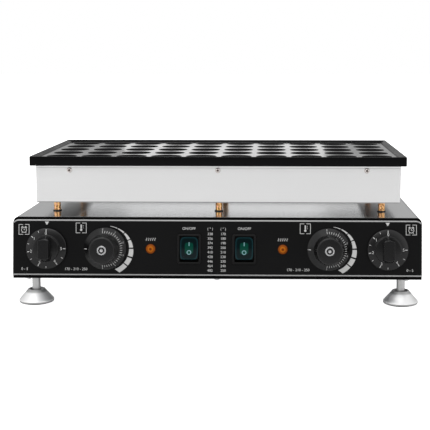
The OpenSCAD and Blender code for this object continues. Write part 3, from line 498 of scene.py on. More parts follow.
# The solids that keep their own mesh, or are replaced further on, by finish
finishes = [
    (innerSteel, "heater_box_floor"), (darkSteel, "left_heating_element right_heating_element"),
    (zincSheet, "element_clamps heat_shield bottom_plate"), (woolBoard, "insulation_pad"),
    (copper, "left_sensor_bulb right_sensor_bulb"), (sleeveWeave, "left_element_leads right_element_leads"),
    (washerSteel, "post_washers"), (goldZinc, "post_nuts"), (stainless, "rear_panel body_cover"),
    (shadowedBandBlack, "front_panel"), (panelCoat, "control_plate"), (boxSteel, "heater_box"),
    (lightPlastic, "left_timer right_timer lamp_bodies terminal_block"),
    (tanCeramic, "left_thermostat right_thermostat"), (mattBlack, "cable_gland_nut cable_gland"),
    (brightScrew, "element_clamp_screws foot_nuts left_timer_shaft right_timer_shaft left_thermostat_shaft"
                  " right_thermostat_shaft control_screws"),
    (footRubber, "supply_loom front_left_foot_pad front_right_foot_pad rear_left_foot_pad rear_right_foot_pad"),
]
for material, names in finishes:
    for name in names.split():
        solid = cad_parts[name]
        solid.data.materials.clear()
        solid.data.materials.append(material)

# Painted highlight and painted shade where the sheets are folded: how far each reaches from the edge, in millimetres,
# and their tones
foldShading = {"side": 0.9, "low": 1.1, "seamLow": 2.9, "seamHigh": 2.2, "sideShadeTone": (0.45,) * 3, "lowShadeTone": (0.34,) * 3,
         "seamShadeTone": (0.6,) * 3, "hemHighlightTone": (0.97,) * 3, "bendSide": 0.9, "bendTop": 0.7,
         "bendShadeTone": (0.3, 0.3, 0.305)}


# Painted light on the folds: a painted highlight along the heater box's top hem with a grey painted shade line below
# it, painted shade on its side and bottom folded edges, and painted shade that makes the cover's rounded sides duller
# than their flat sheets
def edgeTints():
    tree = boxSteel.node_tree
    x, z = placed(tree, "XZ")
    half = layout["boxWidth"] / 2
    seam = plateZ - foldShading["seamHigh"]
    # Painted highlight on the top hem, a painted shade line under it, and painted shade on the side edges and the
    # bottom fold
    tinted(boxSteel, [
        (between(tree, z, seam, plateZ + 2, 0.3), foldShading["hemHighlightTone"]),
        (between(tree, z, plateZ - foldShading["seamLow"], seam, 0.3), foldShading["seamShadeTone"]),
        (between(tree, mathNode(tree, "ABSOLUTE", x), half - foldShading["side"], half + 2, 0.2), foldShading["sideShadeTone"]),
        (between(tree, z, boxZ - 2, boxZ + foldShading["low"], 0.3), foldShading["lowShadeTone"])])
    tree = stainless.node_tree
    x, z = placed(tree, "XZ")
    bend = layout["bendRadius"]
    sides = between(tree, mathNode(tree, "ABSOLUTE", x), layout["bodyWidth"] / 2 - bend * foldShading["bendSide"], far, 1.2)
    top = between(tree, z, bodyTopZ - bend * foldShading["bendTop"], far, 1.5)
    # Painted shade on the cover's rounded sides near its top
    tinted(stainless, [(mathNode(tree, "MULTIPLY", sides, top), foldShading["bendShadeTone"])])


edgeTints()

# The plate is one casting: fifty round cups, lands between them and three small steps round the rim
plate = {
    "columns": 10, "rows": 5, "width": 448.4, "depth": 234.4, "edge": 11.2, "margin": 11, "land": 2.6,
    "cupDepth": 8, "cupGap": 4.6, "cupFloor": 2.6, "lip": 0.7, "steps": 3, "stepWidth": 2.1, "corner": 1.6,
    "perSide": 8, "slabInset": 2.0, "polish": 1.0, "worn": 0.45, "wornFrom": 0.55, "wornTo": 1.15,
    "tone": (0.0038, 0.0038, 0.0041),
    "tread": [(-0.35, 0, 0.05), (-0.1, 0, 0.25), (0, 1, -0.15), (0.2, 1, 0)],  # run, share of the rise, extra height
}


# Black casting: the lands between the cups are polished smooth, the cups and the stepped rim stay as cast
def castFinish():
    p = plate
    material, tree, shader, where = startMaterial("castEnamel", p["tone"], specular=0.05)
    textured(tree, shader, speckle, {"Vector": where, "Size": 700.0, "Low": 0.24, "High": 0.34}, 0.00005, 0.06)
    x, y, z = placed(tree, "XYZ")
    halfX, halfY = p["width"] / 2 - p["margin"], p["depth"] / 2 - p["margin"]
    fromMidX, fromMidY = mathNode(tree, "ABSOLUTE", x), offFrom(tree, y, boxMidY * mm)
    level = mathNode(tree, "GREATER_THAN", z, (plateZ + p["edge"] - p["land"] - 0.35) * mm)
    flat = mathNode(tree, "MULTIPLY", mathNode(tree, "LESS_THAN", fromMidX, (halfX + 2) * mm),
                    mathNode(tree, "LESS_THAN", fromMidY, (halfY + 2) * mm))
    flat = mathNode(tree, "MULTIPLY", flat, level)
    # The rim's treads are worn along their middles, so each shows a thin lighter line on a darker ground
    outwards = mathNode(tree, "MAXIMUM", mathNode(tree, "SUBTRACT", fromMidX, halfX * mm),
                        mathNode(tree, "SUBTRACT", fromMidY, halfY * mm))
    worn = 0.0
    for k in range(p["steps"]):
        start = p["margin"] - (p["steps"] - k) * p["stepWidth"]
        line = between(tree, outwards, start + p["wornFrom"], start + p["wornTo"], 0.2)
        worn = mathNode(tree, "MAXIMUM", line, worn)
    worn = mathNode(tree, "MULTIPLY", worn, p["worn"])
    coat = mathNode(tree, "MAXIMUM", mathNode(tree, "MULTIPLY", flat, p["polish"]), worn)
    wire(tree, shader.inputs, {"Coat Weight": coat, "Coat Roughness": 0.11})
    return material


# Each cup is a ball's bowl, z = floor + ball - sqrt(ball ** 2 - r ** 2), on a grid that goes from its middle over
# a rounded lip to the cell's square edge. A stepped rim is carried round the fifty cells
def makePlate():
    p = plate
    top = plateZ + p["edge"]
    land = top - p["land"]
    pitchX = (p["width"] - 2 * p["margin"]) / p["columns"]
    pitchY = (p["depth"] - 2 * p["margin"]) / p["rows"]
    rim = (min(pitchX, pitchY) - p["cupGap"]) / 2
    ball = (rim ** 2 + p["cupDepth"] ** 2) / (2 * p["cupDepth"])
    slope = math.asin(rim / ball)
    reach = p["lip"] * math.tan(slope / 2)
    phi = np.linspace(slope, 0, 6)
    lipR = np.append(rim + reach - p["lip"] * np.sin(phi), rim + reach + 0.06)
    lipZ = np.append(land - p["lip"] + p["lip"] * np.cos(phi), land)
    r = np.concatenate([np.linspace(0, 1, 10)[:-1] * lipR[0], lipR])
    bowl = land - p["cupDepth"] + ball - np.sqrt(ball ** 2 - np.minimum(r, lipR[0]) ** 2)
    z = np.concatenate([bowl[:9], lipZ])
    # The cell's edge, walked as often as the rim profile has points beside it
    n = p["perSide"]
    t = np.linspace(-1, 1, n + 1)[:-1]
    one = np.ones_like(t)
    square = np.concatenate([np.stack(side, -1) for side in ((one, t), (-t, one), (-one, -t), (t, -one))])
    square = square * np.array([pitchX / 2, pitchY / 2])
    rings = r[:, None, None] * around(np.arctan2(square[:, 1], square[:, 0]))[None]
    mix = np.array([0.5, 1.0])[:, None, None]
    outer = (1 - mix) * rings[-1][None] + mix * square[None]
    flat = np.concatenate([rings, outer])
    heights = np.concatenate([z, [land, land]])
    cell = np.concatenate([flat, np.repeat(heights[:, None, None], len(square), axis=1)], axis=-1).reshape(-1, 3)
    cellFaces = gridFaces(len(heights), len(square), wrap=True)
    i, j = np.meshgrid(np.arange(p["columns"]), np.arange(p["rows"]), indexing="ij")
    cx = (i.ravel() - (p["columns"] - 1) / 2) * pitchX
    cy = (j.ravel() - (p["rows"] - 1) / 2) * pitchY
    places = np.stack([cx, cy + boxMidY, np.zeros_like(cx)], -1)
    points = (cell[None] + places[:, None]).reshape(-1, 3)
    faces = (cellFaces[None] + (np.arange(len(places)) * len(cell))[:, None, None]).reshape(-1, 4)
    # Rim profile: over the land, up three small steps, over the top, down the outer wall and in under the skirt
    m = p["margin"]
    stairs = [(0, land), (m - p["steps"] * p["stepWidth"] - 0.9, land)]
    rise = p["land"] / p["steps"]
    for k in range(p["steps"]):
        x = m - (p["steps"] - k) * p["stepWidth"]
        stairs += [(x + run, land + (k + share) * rise + extra) for run, share, extra in p["tread"]]
    stairs += arc(m - 0.5, top - 0.5, 0.5, 90, 0, 4).tolist()
    stairs += arc(m - 0.5, plateZ + 0.5, 0.5, 0, -90, 4).tolist()
    skirt = m - (p["width"] - layout["boxWidth"]) / 2 - p["slabInset"]
    slab = land - p["cupDepth"] - p["cupFloor"]
    stairs += [(skirt, plateZ), (skirt, slab), (0, slab)]
    rimPoints, rimFaces = ringSweep(stairs, p["width"] - 2 * m, p["depth"] - 2 * m, p["columns"] * n, p["rows"] * n,
                                    p["corner"])
    w, d = p["width"] / 2 - m, p["depth"] / 2 - m
    under = np.array([(-w, -d, slab), (-w, d, slab), (w, d, slab), (w, -d, slab)])
    parts = [(points, faces), (moved(rimPoints, y=boxMidY), rimFaces), (moved(under, y=boxMidY), [[0, 1, 2, 3]])]
    makePiece("bakingPlate", parts, castFinish(), slot="cast_plate", replaces=["baking_plate"], sharpAngle=50)


makePlate()

# Control plate: a bright line along its bevelled edges, turned down round the two upper corners
trim = {"top": 2.5, "bottom": 3.3, "cornerWidth": 8, "cornerHeight": 4.2, "bevel": 1.2, "bevelDeep": 1, "line": 1.5,
        "inset": 0.6, "thick": 0.05, "lanes": 6}


# The strip between two lines, in lanes that lie on the plate: its face, less the bevel's fall near an edge
def trimLine(outer, inner, topEdge, bottomEdge):
    lanes = []
    for share in np.linspace(0, 1, trim["lanes"]):
        line = outer + (inner - outer) * share
        near = np.minimum(topEdge - line[:, 1], line[:, 1] - bottomEdge)
        out = layout["controlThick"] - trim["bevelDeep"] * np.clip(1 - near / trim["bevel"], 0, 1)
        lanes.append(np.column_stack([line, out]))
    lift = np.array([0, 0, trim["thick"]])
    section = np.stack([lane - lift for lane in lanes] + [lane + lift for lane in reversed(lanes)], axis=1)
    return onPanel(section.reshape(-1, 3)), tubeFaces(len(outer), section.shape[1])


def makeTrim():
    t = trim
    half = layout["bodyWidth"] / 2
    topEdge, bottomEdge = -t["top"], t["bottom"] - panelLength
    corner = arc(0, 0, 1, 0, 90, 13)
    centre = np.array([half - t["cornerWidth"], topEdge - t["cornerHeight"]])
    size = np.array([t["cornerWidth"], t["cornerHeight"]])
    lines = []
    for radii in (size - t["inset"], size - t["inset"] - t["line"]):
        right = centre + corner * radii
        lines.append(np.concatenate([right, right[::-1] * np.array([-1, 1])]))
    lines += [np.array([(-half, bottomEdge + lift), (half, bottomEdge + lift)])
              for lift in (t["inset"], t["inset"] + t["line"])]
    parts = [trimLine(*pair, topEdge, bottomEdge) for pair in (lines[:2], lines[2:])]
    makePiece("controlTrim", parts, brightTrim, slot="control_black", recalc=True, flat=True)


makeTrim()
print("plate made")


# A screw with a domed head: z = height * sqrt(1 - 0.85 * share ** 2), sunk where the cosine of the angle makes the
# arms of a cross
def domedScrew(diameter, height, shank, length, recess, arms=4):
    a = np.arange(48) * 2 * pi / 48
    t = np.linspace(0, 1, 14)
    r = t * diameter / 2
    dome = height * np.sqrt(np.clip(1 - 0.85 * t ** 2, 0, 1))
    dome[-1] = 0
    arm = np.clip((np.cos(arms * a) - 0.35) * 4, 0, 1)[None] * np.clip((0.55 - t) * 9, 0, 1)[:, None]
    z = dome[:, None] - recess * arm
    cap = np.stack([r[:, None] * np.cos(a), r[:, None] * np.sin(a), z], -1).reshape(-1, 3)
    stem, stemFaces = lathe([(0, -length), (shank / 2, -length), (shank / 2, 0), (diameter / 2, 0)], 48)
    return joined([(cap, gridFaces(14, 48, wrap=True)), (stem, stemFaces)])


def turned(points, axis, degrees):
    turn = np.array(Matrix.Rotation(math.radians(degrees), 3, axis))
    return np.asarray(points) @ turn.T


# Screw sizes, and the tone of the painted shade in a box screw's recess
screws = {"boxX": 177.5, "boxDrop": 5.6, "boxHead": 6.6, "boxHeadHeight": 2.4, "shank": 4, "length": 8,
          "bodyX": 223, "bodyHead": 7, "bodyHeadHeight": 3, "bodyInset": 5.5, "recess": 1.2, "crossDeep": 0.9,
          "recessShadeTone": (0.07, 0.04, 0.03)}


# Three screws a row, in rows of (degrees about X, place from front to back, height)
def makeScrews(name, head, height, places, rows, material, slot, solid):
    points, faces = domedScrew(head, height, screws["shank"], screws["length"], screws["crossDeep"])
    parts = [(moved(turned(points, "X", degrees), x, y, z), faces)
             for x in (-places, 0, places) for degrees, y, z in rows]
    makePiece(name, parts, material, slot=slot, replaces=[solid])


# Painted shade, dark brown, in the recess in the middle of a box screw: its distance from the nearest screw's axis is
# measured
def recessTint():
    tree = warmScrew.node_tree
    x, z = placed(tree, "XZ")
    half = screws["boxX"] / 2 * mm
    across = offFrom(tree, offFrom(tree, mathNode(tree, "ABSOLUTE", x), half), half)
    away = span(tree, across, offFrom(tree, z, (plateZ - screws["boxDrop"]) * mm))
    tinted(warmScrew, [(between(tree, away, -far, screws["recess"], 0.3), screws["recessShadeTone"])])


recessTint()
boxScrewZ, inset = plateZ - screws["boxDrop"], screws["bodyInset"]
makeScrews("heaterBoxScrews", screws["boxHead"], screws["boxHeadHeight"], screws["boxX"],
           [(90, boxFrontY, boxScrewZ), (-90, boxFrontY + layout["boxDepth"], boxScrewZ)],
           warmScrew, "red_screw", "heater_box_screws")
makeScrews("bodyScrews", screws["bodyHead"], screws["bodyHeadHeight"], screws["bodyX"],
           [(180, panelTopY - layout["leanRun"] + layout["panelThick"] + inset, layout["groundClear"]),
            (180, rearY - inset, layout["groundClear"])], brightScrew, "screw_steel", "body_screws")


# Posts: turned rods with a small chamfer at each end of the thick part, hollow through
post = {"diameter": 8.3, "thread": 6.4, "bore": 4.6, "below": 8, "above": 9, "washer": 1, "insetX": 20,
        "insetY": 25, "chamfer": 0.4, "chamferRise": 0.5}


def makePosts(row, y):
    low, high, seat = bodyTopZ - post["below"], boxZ + post["above"], bodyTopZ + post["washer"]
    thick, thin, bore = post["diameter"] / 2, post["thread"] / 2, post["bore"] / 2
    cut, rise, side = post["chamfer"], post["chamferRise"], layout["boxWidth"] / 2 - post["insetX"]
    points, faces = lathe([(bore, low), (thin - cut, low), (thin, low + cut), (thin, seat), (thick - cut, seat),
                           (thick, seat + rise), (thick, boxZ - rise), (thick - cut, boxZ), (thin, boxZ),
                           (thin, high - cut), (thin - cut, high), (bore, high), (bore, low)], 40)
    makePiece(row + "Posts", [(moved(points, x, y), faces) for x in (-side, 0, side)], goldZinc,
              slot="gold_zinc", replaces=[row + "_posts"])


makePosts("front", boxFrontY + post["insetY"])
makePosts("rear", boxFrontY + layout["boxDepth"] - post["insetY"])


# Feet: a chrome bell with an open collar round its stem
foot = {"diameter": 41.5, "bellHeight": 17, "stem": 10, "pad": 32, "padThick": 3, "padProud": 1.2, "collar": 20,
        "collarWall": 2, "collarDeep": 3, "insetX": 21, "insetFront": 19, "insetRear": 29, "stemTop": 52.3,
        "chamfer": 0.8, "fillet": 0.3, "hem": 1.4, "shoulder": 1.2, "shoulderRise": 2.8, "lip": 0.9, "lipIn": 0.5,
        "neckOut": 0.6, "neckDrop": 1.0, "padEase": 0.4,
        # painted shade, from and to as heights, their softness and tone: the collar, the stem, the hem's upper and
        # lower part
        "tones": [(13.8, 17.6, 1.2, 0.46), (17.6, far, 1.2, 0.55), (-far, 3.6, 0.4, 0.42), (-far, 1.8, 0.4, 0.10)]}


# The bell's section from the pad out to its rounded hem, up its slope and into the collar, and up the stem
def footShape():
    f = foot
    outer, pad, collar, stem = (f[key] / 2 for key in ("diameter", "pad", "collar", "stem"))
    proud, fillet, hem, top = f["padProud"], f["fillet"], f["hem"], f["bellHeight"]
    low = top - f["collarDeep"]
    profile = [(0, f["padThick"]), (pad, f["padThick"]), (pad, proud + f["padEase"] / 2), (pad + f["padEase"], proud),
               (outer - hem, proud)]
    profile += arc(outer - hem, proud + hem, hem, -90, 0, 6).tolist()
    profile += arc(outer - f["shoulder"], proud + f["shoulderRise"], f["shoulder"], 0, 52, 5).tolist()
    profile += [(collar + f["neckOut"], top - f["neckDrop"])]
    profile += arc(collar - f["lipIn"], top - f["lip"], f["lip"], 35, 110, 5).tolist()
    profile += [(collar - f["collarWall"], top - f["lipIn"]), (collar - f["collarWall"] - fillet, low),
                (stem + fillet, low), (stem, low + fillet), (stem, f["stemTop"] - f["chamfer"]),
                (stem - f["chamfer"], f["stemTop"]), (0, f["stemTop"])]
    return lathe(profile, 72)


# Painted shade on the foot: its collar and stem darker than its bell, and its hem nearly black as a painted shadow
# under the bell
def footTint():
    tree = chrome.node_tree
    z = placed(tree, "Z")[0]
    tinted(chrome, [(between(tree, z, low, high, soft), (tone,) * 3) for low, high, soft, tone in foot["tones"]])


footTint()
footPoints, footFaces = footShape()
for end, y in (("front", panelTopY + foot["insetFront"]), ("rear", rearY - foot["insetRear"])):
    for side, sign in controls.items():
        parts = [(moved(footPoints, sign * (layout["bodyWidth"] / 2 - foot["insetX"]), y), footFaces)]
        makePiece(f"{end}{side.title()}Foot", parts, chrome, body=f"{end}_{side}_levelling_foot",
                  slot="chrome_foot", replaces=[f"{end}_{side}_foot"], sharpAngle=40)
print("posts and feet made")


# Numbers from 0 up round a knob's axis, one at each angle
def numbersRound(angles, knob):
    places = around(angles) * knob["numberRadius"]
    return [lettering(str(k), knob["numberSize"], *place, sunk, knob["marks"]) for k, place in enumerate(places)]


# Timer knobs: a skirt with a scale, a low boss and an upright grip
timer = {"diameter": 48, "gap": 1.5, "skirt": 2.4, "bevel": 1.6, "boss": 31, "bossRise": 2.4, "gripWidth": 12.4,
         "gripTop": 23.6, "gripEdge": 0.5, "marks": 0.06, "numberSize": 3.6, "numberRadius": 17.9,
         "long": [0, 50, 100, 155, 215, 270], "longSize": (0.8, 2.8), "short": [25, 75, 125, 180, 240],
         "shortSize": (0.55, 2.2), "longInset": 2.7, "shortInset": 2.4, "smallRound": 0.8, "largeRound": 1.0,
         "toe": 0.15, "seat": 0.6, "gripIn": 0.3}


# The skirt has a rounded rim and a cone that rises to the boss, whose edge is rounded too
def timerKnob(side, x):
    t = timer
    r, bossR, small, large = t["diameter"] / 2, t["boss"] / 2, t["smallRound"], t["largeRound"]
    skirtTop = t["gap"] + t["skirt"]
    coneTop, bossTop = skirtTop + t["bevel"] - t["toe"], skirtTop + t["bevel"] + t["bossRise"]
    profile = [(0, t["gap"]), (r - 0.5, t["gap"])]
    profile += arc(r - small, t["gap"] + small, small, -60, 0, 4).tolist()
    profile += arc(r - large, skirtTop - large, large, 0, 84, 5).tolist()
    profile += [(bossR + small, coneTop)]
    profile += arc(bossR + small, coneTop + small, small, 264, 180, 4).tolist()
    profile += arc(bossR - large, bossTop - large, large, 0, 90, 5).tolist()
    parts = [lathe(profile + [(0, bossTop)], 96), timerGrip(bossTop - t["seat"])]
    makePiece(f"{side}TimerKnob", atControl(parts, x), glossBlack, body=f"{side}_timer_control", slot="knob_black",
              replaces=[f"{side}_timer_knob"], sharpAngle=40)
    # Scale from 0 at the top, anticlockwise
    flatMarks = []
    for kind in ("long", "short"):
        a = np.radians(t[kind])
        middles = around(a + pi / 2) * (r - t[kind + "Inset"])
        flatMarks.append(bars(middles, [t[kind + "Size"]] * len(a), a, sunk, t["marks"]))
    flatMarks += numbersRound(np.radians(t["long"]) + pi / 2, t)
    parts = [onCone(mark, r - 1, skirtTop, bossR + small, coneTop) for mark in flatMarks]
    makePiece(f"{side}TimerMarks", atControl(parts, x), whiteInk, body=f"{side}_timer_control", slot="knob_black",
              flat=True)


# The grip: a flat-topped bar with round ends that narrow upwards. Each level is an outline of two straight sides
# and two arcs about the knob's axis, with small fillets between them, moved in by its inset near the top
def timerGrip(base):
    t = timer
    top, w, fillet = layout["timerHeight"], t["gripWidth"] / 2, t["gripEdge"]
    lowEnd, highEnd = t["boss"] / 2 - t["gripIn"], t["gripTop"] / 2
    levels = [(0, base), (0, top - fillet)]
    levels += [(fillet * (1 - math.cos(q)), top - fillet + fillet * math.sin(q)) for q in np.radians([30, 60, 90])]
    levels += [(fillet + 0.1, top)]
    rows = []
    for inset, z in levels:
        end = lowEnd + (highEnd - lowEnd) * (z - base) / (top - base)
        innerW, innerR = w - fillet, end - fillet
        y = math.sqrt(innerR ** 2 - innerW ** 2)
        turn = math.atan2(y, innerW)
        first = np.linspace(0, turn, 4)
        edge = [(w - inset, 0.0), (w - inset, y - 0.15)]
        edge += [(innerW + (fillet - inset) * math.cos(q), y + (fillet - inset) * math.sin(q)) for q in first]
        tip = ((end - inset) * around(np.linspace(turn, pi - turn, 15)[1:-1])).tolist()
        half = np.array(edge + tip + [(-across, along) for across, along in edge[:0:-1]])
        rows.append(np.column_stack([np.concatenate([half, -half]), np.full(2 * len(half), z)]))
    return np.concatenate(rows), tubeFaces(len(rows), len(rows[0]))


# Temperature knobs: a cone with ticks, a round grip with fine flutes and a bright cap
dial = {"diameter": 49.6, "height": 9, "edge": 1, "foot": 34.8, "flutes": 60, "fluteDepth": 0.22, "cap": 10.6,
        "capHeight": 1, "capSink": 0.6, "ticks": 26, "tickFrom": 96, "tickTo": -96, "tickIn": 18.7, "tickOut": 21.1,
        "tickWidth": 0.5, "every": 5, "numberRadius": 22.9, "numberSize": 1.9, "marks": 0.05, "rimRound": 0.4,
        "underRound": 0.5, "toe": 0.4, "coneIn": 0.6, "coneRise": 0.2, "coneOut": 0.5, "coneDrop": 0.35,
        "capFit": 0.02, "capEdge": 0.25, "capRim": 1.5, "capValley": 0.35, "button": 1.9, "groove": 0.05,
        "pointer": [(-21.9, 0, 2.3, 1.0), (-23.8, 0, 1.5, 0.45)]}


def temperatureKnob(side, x):
    d = dial
    common = {"body": f"{side}_temperature_control"}
    r, top, gap = d["diameter"] / 2, layout["temperatureHeight"], timer["gap"]
    rimTop, coneTop = gap + d["edge"], gap + d["height"]
    footR, headR, headRound = d["foot"] / 2, layout["gripTop"] / 2, layout["gripRound"]
    rimRound, under, base = d["rimRound"], d["underRound"], coneTop + d["toe"]
    cone = (r - d["coneIn"], rimTop + d["coneRise"], footR + d["coneOut"], coneTop - d["coneDrop"])
    profile = [(0, gap), (r - rimRound, gap)]
    profile += arc(r - under, gap + under, under, -60, 0, 4).tolist()
    profile += arc(r - rimRound, rimTop - rimRound, rimRound, 0, 48, 4).tolist()
    profile += [cone[:2], cone[2:], (footR + 0.12, coneTop - 0.02), (footR, base)]
    steps = np.linspace(0, 1, 9)[1:]
    profile += [(footR + (headR - footR) * s, base + (top - headRound - base) * s) for s in steps]
    profile += arc(headR - headRound, top - headRound, headRound, 8, 90, 7).tolist()
    low = top - d["capSink"]
    high = low + d["capHeight"]
    capR = d["cap"] / 2
    profile += [(capR + 0.1, top), (capR, top - 0.1), (capR, low), (0, low)]
    grip = lathe(profile, 240, d["flutes"], d["fluteDepth"], coneTop + 0.3, top - 1.2)
    makePiece(f"{side}TemperatureKnob", atControl([grip], x), satinBlack, slot="knob_satin",
              replaces=[f"{side}_temperature_knob"], **common)
    # The cap has a raised rim and a round button, with a valley between them whose floor is dark
    capR, edge, button, valley = capR - d["capFit"], d["capEdge"], d["button"], high - d["capValley"]
    rimR = capR - d["capRim"]
    cap = [(0, low), (capR, low), (capR, high - edge), (capR - edge, high), (rimR, high), (rimR - 0.2, valley),
           (button, valley), (button - 0.2, high - 0.05), (button - 0.7, high), (0, high)]
    makePiece(f"{side}KnobCap", atControl([lathe(cap, 64)], x), brightScrew, slot="cap_silver",
              replaces=[f"{side}_knob_cap"], **common)
    inner, outer, under, over = button + d["groove"], rimR - 0.22, valley - 0.01, valley + d["groove"]
    groove = [(inner, under), (outer, under), (outer, over), (inner, over), (inner, under)]
    makePiece(f"{side}CapGroove", atControl([lathe(groove, 64)], x), satinBlack, slot="knob_satin", recalc=True,
              **common)
    # Ticks round the right half of the cone, every fifth with a number, and a pointer at the left
    a = np.radians(np.linspace(d["tickFrom"], d["tickTo"], d["ticks"]))
    numbered = np.arange(d["ticks"]) % d["every"] == 0
    length = np.where(numbered, d["tickOut"] - d["tickIn"] + 0.5, d["tickOut"] - d["tickIn"])
    middle = d["tickIn"] + length / 2
    sizes = np.stack([length, np.full_like(length, d["tickWidth"])], -1)
    pointer = np.array(d["pointer"])
    flatMarks = [bars(around(a) * middle[:, None], sizes, a, sunk, d["marks"]),
                 bars(pointer[:, :2], pointer[:, 2:], [0, 0], sunk, d["marks"])]
    parts = [onCone(mark, *cone) for mark in flatMarks + numbersRound(a[numbered], d)]
    makePiece(f"{side}TemperatureMarks", atControl(parts, x), whiteInk, slot="knob_satin", flat=True, **common)


for side, sign in controls.items():
    timerKnob(side, sign * layout["timerX"])
    temperatureKnob(side, sign * layout["thermostatX"])
print("knobs made")


# Rocker switches: a rounded bezel round a well, a body with three blades behind, and a rocker with I and O
switch = {"width": 28, "length": 35, "corner": 3, "height": 2.2, "wellWidth": 22.2, "wellLength": 30, "wellDeep": 10,
          "wall": 1.5, "deep": 24, "bladeWidth": 6.3, "bladeThick": 0.8, "bladeLength": 8, "bladeGap": 10,
          "pivotDrop": 4, "tilt": -10, "sideGap": 0.4, "half": 13.2, "rise": 7.4, "valley": 5.8, "back": 1.5,
          "lineHeight": 4.4, "lineWidth": 1.1, "lineAt": 4.8, "ringRadius": 2.2, "ringWidth": 1.0, "ringAt": -5.0,
          "edge": 0.5, "marks": 0.06, "curve": 1.3, "caseCorner": 1,
          "mouth": [(0, 0.4, 0.8), (0.5, 0.65, 0.25), (1.4, 1.1, 0)],  # growth, corner, depth under the bezel's top
          "rim": [(0.8, 0), (0.25, 0.3), (0, 0.9)]}  # inset, depth under the bezel's top


def switchHousing(side, x):
    s = switch
    w, l, c, high = s["width"], s["length"], s["corner"], s["height"]
    wellW, wellL, wall = s["wellWidth"], s["wellLength"], s["wall"]
    rings = [(wellW, wellL, s["mouth"][0][1], -s["wellDeep"])]
    rings += [(wellW + grow, wellL + grow, radius, high - drop) for grow, radius, drop in s["mouth"]]
    rings += [(w - 2 * inset, l - 2 * inset, c - inset, high - drop) for inset, drop in s["rim"]] + [(w, l, c, 0)]
    rings += [(wellW + 2 * wall, wellL + 2 * wall, s["caseCorner"], z) for z in (0, -s["deep"])]
    blades = bars([(0, k * s["bladeGap"]) for k in (-1, 0, 1)], [(s["bladeWidth"], s["bladeThick"])] * 3, [0] * 3,
                  -s["deep"] - s["bladeLength"], -s["deep"] + 0.1)
    makePiece(f"{side}SwitchHousing", atControl([loft(rings), blades], x), mattBlack, slot="switch_black",
              replaces=[f"{side}_switch_housing"], recalc=True)


# The rocker's side view dips to a shallow valley, height = valley + (rise - valley) * share ** curve with the share
# of its half length, and turns with the switch; its sides are flat
def rocker(side, x):
    s = switch
    angle = math.radians(s["tilt"])
    turn = np.array([[math.cos(angle), -math.sin(angle)], [math.sin(angle), math.cos(angle)]])

    def faceHeight(along):
        return s["valley"] + (s["rise"] - s["valley"]) * (np.abs(along) / s["half"]) ** s["curve"]

    def tilted(across, along, height):
        line = np.stack([along, height], -1) @ turn.T
        return np.column_stack([across, line[:, 0], line[:, 1] - s["pivotDrop"]])

    along = np.linspace(1, -1, 13) * s["half"]
    height = np.append(faceHeight(along), [-s["back"], -s["back"]])
    n = len(height)
    left = tilted(np.full(n, s["sideGap"] - s["wellWidth"] / 2), np.append(along, [-s["half"], s["half"]]), height)
    right = left * np.array([-1, 1, 1])
    faces = [list(range(n)), [n + k for k in reversed(range(n))]]
    faces += [[k, n + k, n + (k + 1) % n, (k + 1) % n] for k in range(n)]
    piece = makePiece(f"{side}Rocker", atControl([(np.concatenate([left, right]), faces)], x), rockerTeal,
                      body=f"{side}_switch_rocker", slot="rocker_green", replaces=[f"{side}_rocker"], recalc=True)
    soft = piece.modifiers.new("softEdges", "BEVEL")
    soft.width, soft.segments = s["edge"] * mm, 3
    soft.limit_method, soft.angle_limit = "ANGLE", math.radians(40)

    # The marks lie on the rocker's curved face
    symbols = [bars([(0, s["lineAt"])], [(s["lineWidth"], s["lineHeight"])], [0], sunk, s["marks"]),
               ring(0, s["ringAt"], s["ringRadius"], s["ringWidth"], sunk, s["marks"])]
    laid = [(tilted(p[:, 0], p[:, 1], faceHeight(p[:, 1]) + p[:, 2]), f) for p, f in symbols]
    makePiece(f"{side}RockerMarks", atControl(laid, x), tealInk, body=f"{side}_switch_rocker", slot="rocker_green",
              flat=True)


for side, sign in controls.items():
    switchHousing(side, sign * layout["switchX"])
    rocker(side, sign * layout["switchX"])

# Pilot lamps: a domed lens with rings round its middle
lens = {"diameter": 12.4, "edge": 1, "dome": 2.4, "rings": 4, "ringDeep": 0.16, "neck": 8.7, "neckLength": 7,
        "middle": 3, "zones": [(1.7, 3.3, (0.36, 0.10, 0.005)), (-far, 1.3, (0.13, 0.025, 0.002)),
                               (5.3, far, (0.03, 0.008, 0.002))]}


# Orange that is brighter in a ring about the darker middle, and nearly black at the rim
def lensTint():
    tree = lampOrange.node_tree
    x, z = placed(tree, "XZ")
    height = bodyTopZ - rowDrop * leanCos + lens["middle"] * leanSin
    across = offFrom(tree, mathNode(tree, "ABSOLUTE", x), layout["lampX"] * mm)
    away = span(tree, across, mathNode(tree, "DIVIDE", offFrom(tree, z, height * mm), leanCos))
    tinted(lampOrange, [(between(tree, away, low, high, 0.4), tone) for low, high, tone in lens["zones"]])


# The dome: height = edge + dome * (1 - share ** 2.2) less shallow rings that follow a cosine of the share
def lampLens(side, x):
    r, neck, down = lens["diameter"] / 2, lens["neck"] / 2, -lens["neckLength"]
    share = np.linspace(1, 0.02, 41)
    rings = lens["ringDeep"] * (0.5 - 0.5 * np.cos(share * lens["rings"] * 2 * pi))
    dome = lens["edge"] + lens["dome"] * (1 - share ** 2.2) - rings
    profile = [(0, down), (neck, down), (neck, 0), (r - 0.2, 0), (r, 0.2)]
    profile += np.stack([share * r, dome], -1).tolist() + [(0, dome[-1])]
    makePiece(f"{side}LampLens", atControl([lathe(profile, 56)], x), lampOrange, slot="lens_orange",
              replaces=[f"{side}_lamp_lens"], sharpAngle=50)


lensTint()
for side, sign in controls.items():
    lampLens(side, sign * layout["lampX"])
print("switches and lamps made")


